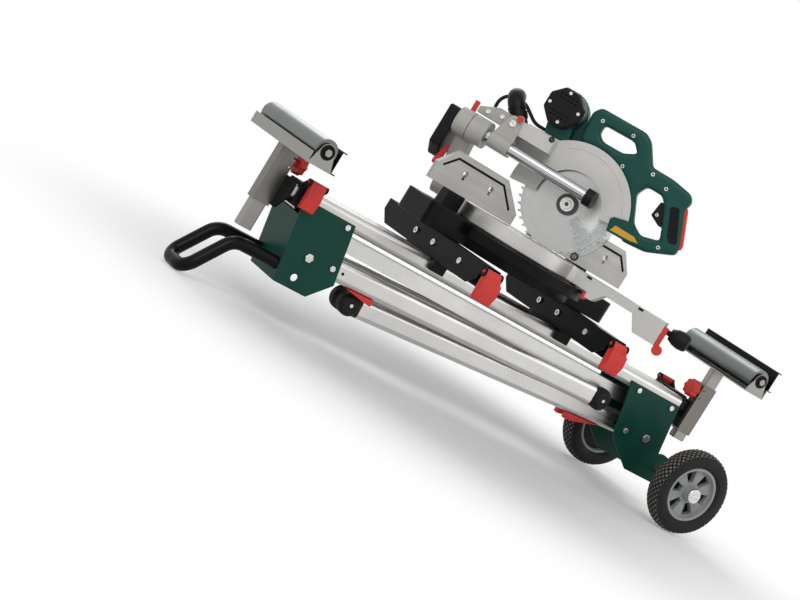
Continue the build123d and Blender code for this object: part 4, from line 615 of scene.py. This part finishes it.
for node, voxel, passes, finish in (
    ("head_handle", 1.5, 130, green_mould),
    ("motor_housing", 1.5, 20, green_mould),
    ("bevel_arm", 1.6, 14, casting_coat),
    ("slide_carriage", 1.3, 10, casting_coat),
    ("feet_left", 1.2, 10, foot_rubber),
    ("feet_right", 1.2, 10, foot_rubber),
    ("mitre_knob", 0.8, 10, black_mould),
):
    mould(node, voxel, passes, finish)
mould("motor_cap", 0.9, 40, black_mould, CAP_MIDDLE, CAP_CORE)
print("mouldings done")

# %% [markdown]
# The nodes that are round already, such as tubes, rollers and the blade, keep their own solid and only take
# a finish. Smooth shading by angle hides the facets of a round wall and leaves the real edges crisp.

# %% Finish the round nodes
for finish, names in (
    (beam_metal, ("beam", "extension_tube_left", "extension_tube_right")),
    (black_coat, ("pull_handle",)),
    (leg_metal, ("lower_rail", "legs_left", "legs_right")),
    (foot_rubber, ("power_cable",)),
    (roller_metal, ("roller_left", "roller_right")),
    (black_mould, ("table_insert", "dust_elbow")),
    (tube_chrome, ("slide_tubes",)),
    (blade_steel, ("saw_blade",)),
    (clear_plastic, ("lower_guard",)),
):
    for name in names:
        nodes[name].data.materials.clear()
        nodes[name].data.materials.append(finish)
        choose(nodes[name])
        bpy.ops.object.shade_smooth_by_angle(angle=radians(30))
print("round nodes finished")

# %% [markdown]
# ## The small pieces
# What is left are the pieces that show from a step away: screws, washers, the soft grip, the plate on the
# handle, collars and stops. Flat ones are drawn as by hand, with one vertex that is extruded from corner to
# corner, filled and given a thickness. Screws and washers are discs with an inset, modelled once and
# copied, and each copy has its own mesh.

# %% Small-piece helpers
Disc = namedtuple("Disc", "radius height sides socket sink")


def dress(piece, finish, body, width, segments=2):
    """Round a new piece, give it a finish and let it ride on a body."""
    choose(piece)
    bpy.ops.object.transform_apply(location=True, rotation=True, scale=True)
    round_edges(piece, width, segments)
    if not piece.data.materials:
        piece.data.materials.append(finish)
    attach(piece, body)
    return piece


def trace(name, corners):
    """New piece with a line through corners in metres, left in edit mode with all of it selected."""
    bpy.ops.object.select_all(action="DESELECT")
    bpy.ops.mesh.primitive_plane_add(size=MM, location=corners[0])
    piece = bpy.context.object
    piece.name = name
    bpy.ops.object.mode_set(mode="EDIT")
    bpy.ops.mesh.select_all(action="SELECT")
    bpy.ops.mesh.merge(type="CENTER")
    for start, end in zip(corners, corners[1:]):
        bpy.ops.mesh.extrude_region_move(TRANSFORM_OT_translate={"value": end - start})
    bpy.ops.mesh.select_all(action="SELECT")
    return piece


def close_up():
    """Turn every face of the piece in edit mode outwards and go back to object mode."""
    bpy.ops.mesh.select_all(action="SELECT")
    bpy.ops.mesh.normals_make_consistent(inside=False)
    bpy.ops.object.mode_set(mode="OBJECT")


def plate(name, corners, thickness):
    """Flat piece from corners and a thickness, all vectors in metres."""
    piece = trace(name, corners)
    bpy.ops.mesh.edge_face_add()
    bpy.ops.mesh.select_all(action="SELECT")
    bpy.ops.mesh.extrude_region_move(TRANSFORM_OT_translate={"value": thickness})
    close_up()
    return piece


def saw_plate(name, outline, left, thickness):
    """Flat piece on the saw: an outline of forward and up, and how far left of the blade it starts."""
    corners = [on_saw(forward, -left, up) for forward, up in outline]
    return plate(name, corners, saw_way(0, -thickness, 0))


def ring_of_points(name, radius, sides, fill):
    """New circle flat on the origin, left in edit mode with all of it selected."""
    bpy.ops.object.select_all(action="DESELECT")
    bpy.ops.mesh.primitive_circle_add(vertices=sides, radius=radius * MM, fill_type=fill, location=(0, 0, 0))
    piece = bpy.context.object
    piece.name = name
    bpy.ops.object.mode_set(mode="EDIT")
    bpy.ops.mesh.select_all(action="SELECT")
    return piece


def lift(height):
    """Extrude what is selected straight up, by millimetres."""
    bpy.ops.mesh.extrude_region_move(TRANSFORM_OT_translate={"value": (0, 0, height * MM)})


def turned_to(way):
    """Turn that points a piece's own Z along a way."""
    return Vector(way).to_track_quat("Z", "Y").to_matrix().to_4x4()


def scatter(name, shape, places, facing, finish, body, width=0.4):
    """Screw heads or washers with a sunk socket, at places in metres, all facing one way."""
    master = ring_of_points(name, shape.radius, shape.sides, "NGON")
    lift(shape.height)
    bpy.ops.mesh.inset(thickness=(shape.radius - shape.socket) * MM)
    lift(-shape.sink)
    close_up()
    for number, place in enumerate(places):
        piece = master.copy()
        piece.data = master.data.copy()
        bpy.context.collection.objects.link(piece)
        piece.name = f"{name}_{number + 1}"
        piece.matrix_world = Matrix.Translation(place) @ turned_to(facing)
        dress(piece, finish, body, width)
    bpy.data.objects.remove(master)


def arc(middle, radius, start, end, steps):
    """Points of an arc about a middle, between two angles in degrees."""
    turns = [radians(start + (end - start) * step / steps) for step in range(steps + 1)]
    return [(middle[0] + radius * cos(turn), middle[1] + radius * sin(turn)) for turn in turns]


print("small-piece helpers ready")

# %% [markdown]
# On the stand: dark washers under the roller nuts, zinc screws on the carriers' side walls, a screw in each
# foot and a hole in each leg on the near side. Each kind has its sizes written once, so all of a kind
# are alike. The hole is a thin dark disc of painted shade, because nothing shows inside a hole that small.

# %% Stand screws and washers
ROLLER_WASHER = Disc(radius=15.5, height=1.4, sides=40, socket=9.0, sink=1.2)
CARRIER_SCREW = Disc(radius=7.0, height=4.0, sides=32, socket=3.4, sink=2.2)
FOOT_SCREW = Disc(radius=4.0, height=1.6, sides=28, socket=1.8, sink=0.8)
LEG_HOLE_SHADE = Disc(radius=3.4, height=0.6, sides=24, socket=2.4, sink=0.3)
roller_x = 632
left_roller_up, right_roller_up = 351, 392
yoke_face = 142.0
carrier_screw_ys = (44, -35, -152)
carrier_screw_up = 296
for side, x, up in (("left", -roller_x, left_roller_up), ("right", roller_x, right_roller_up)):
    for name, y, facing in (("roller_washer_", -yoke_face, NEAR), ("roller_washer_far_", yoke_face, FAR)):
        place = on_stand(x, y, up)
        scatter(name + side, ROLLER_WASHER, [place], facing, black_coat, "post_" + side)
for side, x in (("left", -248.0), ("right", 122.0)):
    places = [on_stand(x, y, carrier_screw_up) for y in carrier_screw_ys]
    scatter("carrier_screw_" + side, CARRIER_SCREW, places, (-1, 0, 0), zinc, "saw_mount")
for name, place, body in (
    ("foot_screw_near", on_stand(-338, -33.2, 99.5), "leg_pair_right"),
    ("foot_screw_far", on_stand(338, -60.6, 176), "leg_pair_left"),
):
    scatter(name, FOOT_SCREW, [place], NEAR, zinc, body, width=0.3)
# Each leg hole is a dark disc of painted shade
for name, place, body in (
    ("leg_hole_left", on_stand(-409, -55.3, 151), "leg_pair_left"),
    ("leg_hole_right", on_stand(428, -27.9, 144), "leg_pair_right"),
):
    scatter(name, LEG_HOLE_SHADE, [place], NEAR, black_mould, body, width=0.1)
print("stand screws and washers done")

# %% [markdown]
# A red plastic wedge shows under each leg beside its hinge. It is a flat outline in the leg's own plane,
# given the wedge's width, and it rides on the leg, so it folds out with it.

# %% Leg stays
stay_width = 16
left_wedge = [(-386, 128.6), (-310, 131.0), (-310, 117), (-330, 119)]
right_wedge = [(392, 118.6), (300, 113.2), (300, 97), (330, 102)]
for side, wedge, leg_y in (("left", left_wedge, 44.4), ("right", right_wedge, 17.0)):
    for place, y in (("near", -leg_y), ("far", leg_y)):
        corners = [on_stand(x, y - stay_width / 2, z) for x, z in wedge]
        stay = plate(f"leg_stay_{side}_{place}", corners, Vector((0, stay_width, 0)) * MM)
        dress(stay, red_mould, "leg_pair_" + side, width=1.5)
print("leg stays done")

# %% [markdown]
# The tyre is spun from its section. A bump map of a tread would stay flat at the tyre's edge, so the blocks
# are real. The tread's four rows of squares are poked and their old edges dissolved, which leaves diamonds.
# Each diamond is inset, pushed out into a block and given the lighter finish of dust and painted highlight
# while it is still selected. A dark disc closes the wheel's far side behind the windows.

# %% Tyres
RIM_BACKING = Disc(radius=57.0, height=1.5, sides=64, socket=26.0, sink=0.6)
AXLE_X = 578
AXLE_UP = 100
tyre_y = 186
backing_y = 178
half_section = [(18, 64), (23.6, 71), (24, 78), (23.6, 84), (22, 90), (11.5, 95.8)]
tyre_crown = (0, 97.1)
tyre_steps = 48
tread_start = 91.5
tread_groove = 1.3
tread_height = 2.4


def spin_tyre(name, middle):
    """Smooth tyre, its section spun about the axle."""
    section = [(-y, r) for y, r in half_section] + [tyre_crown] + half_section[::-1]
    corners = [middle + Vector((0, y, r)) * MM for y, r in section + section[:1]]
    piece = trace(name, corners)
    bpy.ops.mesh.spin(steps=tyre_steps, angle=2 * pi, center=middle, axis=(0, 1, 0))
    bpy.ops.mesh.select_all(action="SELECT")
    bpy.ops.mesh.remove_doubles(threshold=0.1 * MM)
    close_up()
    bpy.ops.object.transform_apply(location=True, rotation=True, scale=True)
    return piece


def pick(piece, kind, wanted):
    """Select the faces or edges of a piece that are wanted, and leave it in edit mode."""
    bpy.ops.object.mode_set(mode="EDIT")
    bpy.ops.mesh.select_all(action="DESELECT")
    bpy.ops.mesh.select_mode(type=kind)
    bpy.ops.object.mode_set(mode="OBJECT")
    for item in piece.data.polygons if kind == "FACE" else piece.data.edges:
        item.select = wanted(item)
    bpy.ops.object.mode_set(mode="EDIT")


def cut_tread(piece, middle):
    """Diamond blocks on a tyre's running face, with a lighter finish of dust and painted highlight on their
    tops.
    """

    def on_tread(face):
        from_axle = face.center - middle
        return Vector((from_axle.x, from_axle.z)).length > tread_start * MM

    old_points = len(piece.data.vertices)
    pick(piece, "FACE", on_tread)
    bpy.ops.mesh.poke()
    bpy.ops.object.mode_set(mode="OBJECT")
    poked = {}
    for face in piece.data.polygons:
        if max(face.vertices) >= old_points:
            for key in face.edge_keys:
                poked[key] = poked.get(key, 0) + 1
    pick(piece, "EDGE", lambda edge: max(edge.vertices) < old_points and poked.get(edge.key, 0) == 2)
    bpy.ops.mesh.dissolve_edges(use_verts=False)
    pick(piece, "FACE", lambda face: max(face.vertices) >= old_points)
    bpy.ops.mesh.inset(thickness=tread_groove * MM, use_individual=True)
    bpy.ops.transform.shrink_fatten(value=tread_height * MM)
    piece.data.materials.append(tyre_rubber)
    # The block tops take the lighter finish, partly dust and partly painted highlight
    piece.data.materials.append(tread_dust_and_highlight)
    piece.active_material_index = 1
    bpy.ops.object.material_slot_assign()
    bpy.ops.mesh.select_mode(type="VERT")
    bpy.ops.object.mode_set(mode="OBJECT")


for end, y in (("front", -tyre_y), ("rear", tyre_y)):
    node = "tyre_" + end
    middle = on_stand(AXLE_X, y, AXLE_UP)
    tyre = spin_tyre(end + "_tyre", middle)
    cut_tread(tyre, middle)
    dress(tyre, tyre_rubber, node_body[node], width=0.25, segments=1)
    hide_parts(node)
for end, y, facing in (("front", -backing_y, NEAR), ("rear", backing_y, FAR)):
    place = on_stand(AXLE_X, y, AXLE_UP)
    body = "wheel_" + end
    scatter(end + "_backing", RIM_BACKING, [place], facing, black_mould, body, width=0.2)
print("tyres", len(tyre.data.polygons), "faces each")

# %% [markdown]
# On the saw's head the trigger moves into the handle, so the handle needs a pocket for it. A boolean cut is
# the plainest way on a moulded mesh. Beside the blade the handle ends in a flat heel with a plain yellow
# plate. The grip has a black soft pad on both sides and a red strip on its front.

# %% Handle trim
pocket_half = 9.8
pocket_outline = [(225, 613), (221, 577.5), (246, 565), (270, 565), (248, 615), (238, 615)]
heel_outline = [(160, 501), (154, 528), (160, 534), (182, 540), (206, 543), (222, 526), (250, 511)]
heel_outline += [(200, 502)]
mark_outline = [(166, 506), (172, 520), (218, 520), (232, 512), (214, 508)]
pad_outline = [(250, 612), (256, 617), (268, 619), (300, 556), (299, 550), (286, 547), (276, 556)]
strip_outline = [(272, 620), (276, 628), (283, 627), (314, 556), (314, 545), (303, 546)]
handle = bpy.data.objects["head_handle_shown"]
pocket = saw_plate("pocket_cutter", pocket_outline, left=-pocket_half, thickness=2 * pocket_half)
cut = handle.modifiers.new("pocket", "BOOLEAN")
cut.operation = "DIFFERENCE"
cut.solver = "EXACT"
cut.object = pocket
apply_modifiers(handle)
bpy.data.objects.remove(pocket)
heel = saw_plate("handle_heel", heel_outline, left=16.2, thickness=4.0)
dress(heel, green_mould, "saw_head", width=1.5)
mark = saw_plate("handle_plate", mark_outline, left=20.0, thickness=0.7)
dress(mark, plate_yellow, "saw_head", width=0.25)
for side, left, thickness in (("left", 15.6, 3.0), ("right", -15.6, -3.0)):
    pad = saw_plate("grip_pad_" + side, pad_outline, left, thickness)
    dress(pad, soft_grip, "saw_head", width=0.9, segments=3)
strip = saw_plate("grip_strip", strip_outline, left=-8.5, thickness=17.0)
dress(strip, red_mould, "saw_head", width=3.0, segments=4)
print("handle trim done")

# %% [markdown]
# The screws sit on rounded faces, so a typed place would leave some in the air and others sunk. A ray from
# the saw's left finds the surface instead, and the screw faces along the surface's normal there.

# %% Handle screws and guard trim
HANDLE_SCREW = Disc(radius=4.2, height=1.2, sides=28, socket=2.2, sink=1.0)
TRIGGER_PIN = Disc(radius=3.6, height=0.8, sides=28, socket=1.6, sink=0.5)
# Dark disc of painted shade for the screw recess near the guard's top
GUARD_RECESS_SHADE = Disc(radius=6.5, height=1.0, sides=36, socket=4.5, sink=0.8)
ray_start = 60
screw_spots = [(104, 700), (118, 634), (182, 652), (222, 640), (32, 694), (272, 527)]
rim_outer, rim_inner = 135.4, 119.0
rim_start, rim_end = 8, 120
rim_steps = 48


def seat(piece, forward, up, sunk):
    """Place and normal where a ray from the saw's left meets a piece, sunk in by millimetres."""
    _, place, normal, _ = piece.ray_cast(on_saw(forward, -ray_start, up), -LEFT)
    return place - normal * sunk * MM, normal


for number, (forward, up) in enumerate(screw_spots):
    place, normal = seat(handle, forward, up, sunk=0.4)
    name = f"handle_screw_{number + 1}"
    scatter(name, HANDLE_SCREW, [place], normal, zinc, "saw_head", width=0.25)
place, normal = seat(bpy.data.objects["trigger_shown"], forward=233, up=584, sunk=0.4)
scatter("trigger_pin", TRIGGER_PIN, [place], normal, zinc, "trigger_switch", width=0.15)
axle = (BLADE_FORWARD, BLADE_UP)
rim_outline = arc(axle, rim_outer, rim_start, rim_end, rim_steps)
rim_outline += arc(axle, rim_inner, rim_end, rim_start, rim_steps)
rim = saw_plate("guard_rim", rim_outline, left=15.6, thickness=1.7)
dress(rim, guard_coat, "saw_head", width=0.6)
# The dark disc in the guard's screw recess is painted shade
place, normal = seat(bpy.data.objects["upper_guard_shown"], forward=-33, up=604, sunk=0.2)
scatter("guard_recess_shade", GUARD_RECESS_SHADE, [place], normal, black_mould, "saw_head", width=0.25)
print("handle screws and guard trim done")

# %% [markdown]
# On the drive: screws in the motor's cap, a bright arbor bolt with its washer, and a collar and a ring round
# the dust elbow's leaning pipe. A collar is a circle drawn out along the pipe, and Solidify gives its wall.

# %% Drive trim
CAP_SCREW = Disc(radius=3.6, height=1.4, sides=28, socket=1.8, sink=1.0)
ARBOR_WASHER = Disc(radius=15.0, height=1.6, sides=48, socket=11.0, sink=0.8)
ARBOR_BOLT = Disc(radius=9.6, height=5.4, sides=36, socket=4.2, sink=2.4)
cap_face = 44.9
cap_spots = [(-52, 708), (-45, 642), (-82, 672), (-16, 678)]
washer_face = 12.0
bolt_face = 12.2
elbow_lean = radians(39)
elbow_foot = on_saw(-118.6, 0, 593.7)
elbow_radius = 19.0
collar_sides = 48


def collar(name, middle, along, radius, depth, proud):
    """Ring round a pipe: a circle drawn out along the pipe and given a wall."""
    piece = ring_of_points(name, radius, collar_sides, "NOTHING")
    lift(depth)
    close_up()
    wall = piece.modifiers.new("wall", "SOLIDIFY")
    wall.thickness = proud * MM
    wall.offset = 1
    apply_modifiers(piece)
    piece.matrix_world = Matrix.Translation(middle) @ turned_to(along)
    return piece


places = [on_saw(forward, -cap_face, up) for forward, up in cap_spots]
scatter("cap_screw", CAP_SCREW, places, LEFT, zinc, "saw_head", width=0.25)
place = on_saw(BLADE_FORWARD, -washer_face, BLADE_UP)
scatter("arbor_washer", ARBOR_WASHER, [place], LEFT, zinc, "blade", width=0.3)
place = on_saw(BLADE_FORWARD, -bolt_face, BLADE_UP)
scatter("arbor_bolt", ARBOR_BOLT, [place], LEFT, zinc, "blade", width=0.8)
rise = saw_way(-sin(elbow_lean), 0, cos(elbow_lean)).normalized()
for name, up, depth, proud in (("elbow_collar", 16, 15, 2.2), ("elbow_ring", 38, 3, 1.4)):
    ring = collar(name, elbow_foot + rise * up * MM, rise, elbow_radius, depth, proud)
    dress(ring, black_mould, "saw_head", width=0.6)
print("drive trim done")

# %% [markdown]
# Low on the head, a black roller guides the swinging guard. The table's arm has two black plugs in its side
# and a red catch below it. A plug is a thin plate on the wall: a hole cut for it would be filled at once.

# %% Guard roller and arm trim
GUARD_ROLLER = Disc(radius=9.0, height=3.0, sides=40, socket=4.0, sink=1.0)
plug_half = 6
plug_low, plug_high = 396, 401
catch_outline = [(189, 352), (189, 372), (201, 372), (203, 361), (198, 352)]
roller_place = on_saw(131, -10.0, 419)
swing = "lower_guard_swing"
scatter("guard_roller", GUARD_ROLLER, [roller_place], LEFT, black_mould, swing, width=0.6)
for name, forward, left in (("arm_plug_near", 186, 38.8), ("arm_plug_far", 312, 34.7)):
    back, front = forward - plug_half, forward + plug_half
    plug_outline = [(back, plug_low), (back, plug_high), (front, plug_high), (front, plug_low)]
    plug = saw_plate(name, plug_outline, left, thickness=1.2)
    dress(plug, black_mould, "mitre_table", width=0.4)
catch = saw_plate("arm_catch", catch_outline, left=26, thickness=12)
dress(catch, red_mould, "mitre_table", width=1.5)
print("guard roller and arm trim done")

# %% [markdown]
# On the slide: a black stop that closes the tubes' front, the dark seam of the drum, and bolts on the
# carriage. The stop and the seam go round both tubes, so their outline is two half circles. The bottoms of
# the fences' grooves get black as painted shade, by giving those faces a second finish.

# %% Slide and fence trim
CARRIAGE_BOLT = Disc(radius=8.0, height=4.0, sides=6, socket=4.0, sink=1.2)
TAIL_BOLT = Disc(radius=5.0, height=3.2, sides=32, socket=2.6, sink=1.8)
tube_lefts = (66, 36)
tube_up = 540
half_turn_steps = 25
stop_depth = 19.2
seam_depth = 1.6
fence_face = on_stand(0, 20, 0).y
# Depths below the fence face, in millimetres, whose faces get black painted shade
groove_shade_range = (1.3, 4.5)


def round_tubes(radius, forward):
    """Corners of a ring of points round the two slide tubes, at a place forward of the mitre axis."""
    outer, inner = ((left, tube_up) for left in tube_lefts)
    outline = arc(outer, radius, -90, 90, half_turn_steps) + arc(inner, radius, 90, 270, half_turn_steps)
    return [on_saw(forward, -left, up) for left, up in outline]


stop = plate("tube_stop_cap", round_tubes(radius=18.7, forward=90.4), FORWARD * stop_depth * MM)
dress(stop, black_mould, "bevel_frame", width=1.6)
seam = plate("drum_seam", round_tubes(radius=30.25, forward=-196), FORWARD * seam_depth * MM)
dress(seam, dark_steel, "bevel_frame", width=0.1)
place = on_saw(-120, -67.3, 590)
scatter("carriage_bolt", CARRIAGE_BOLT, [place], LEFT, zinc, "carriage", width=0.6)
places = [on_saw(-150, -52.7, 592), on_saw(-182, -52.7, 586)]
scatter("tail_bolt", TAIL_BOLT, places, LEFT, zinc, "carriage")
# Black in the bottom of each groove is painted shade
for name in ("fence_left_shown", "fence_right_shown"):
    fence = bpy.data.objects[name]
    fence.data.materials.append(black_coat)
    for face in fence.data.polygons:
        if groove_shade_range[0] < (face.center.y - fence_face) / MM < groove_shade_range[1]:
            face.material_index = 1
print("slide and fence trim done")
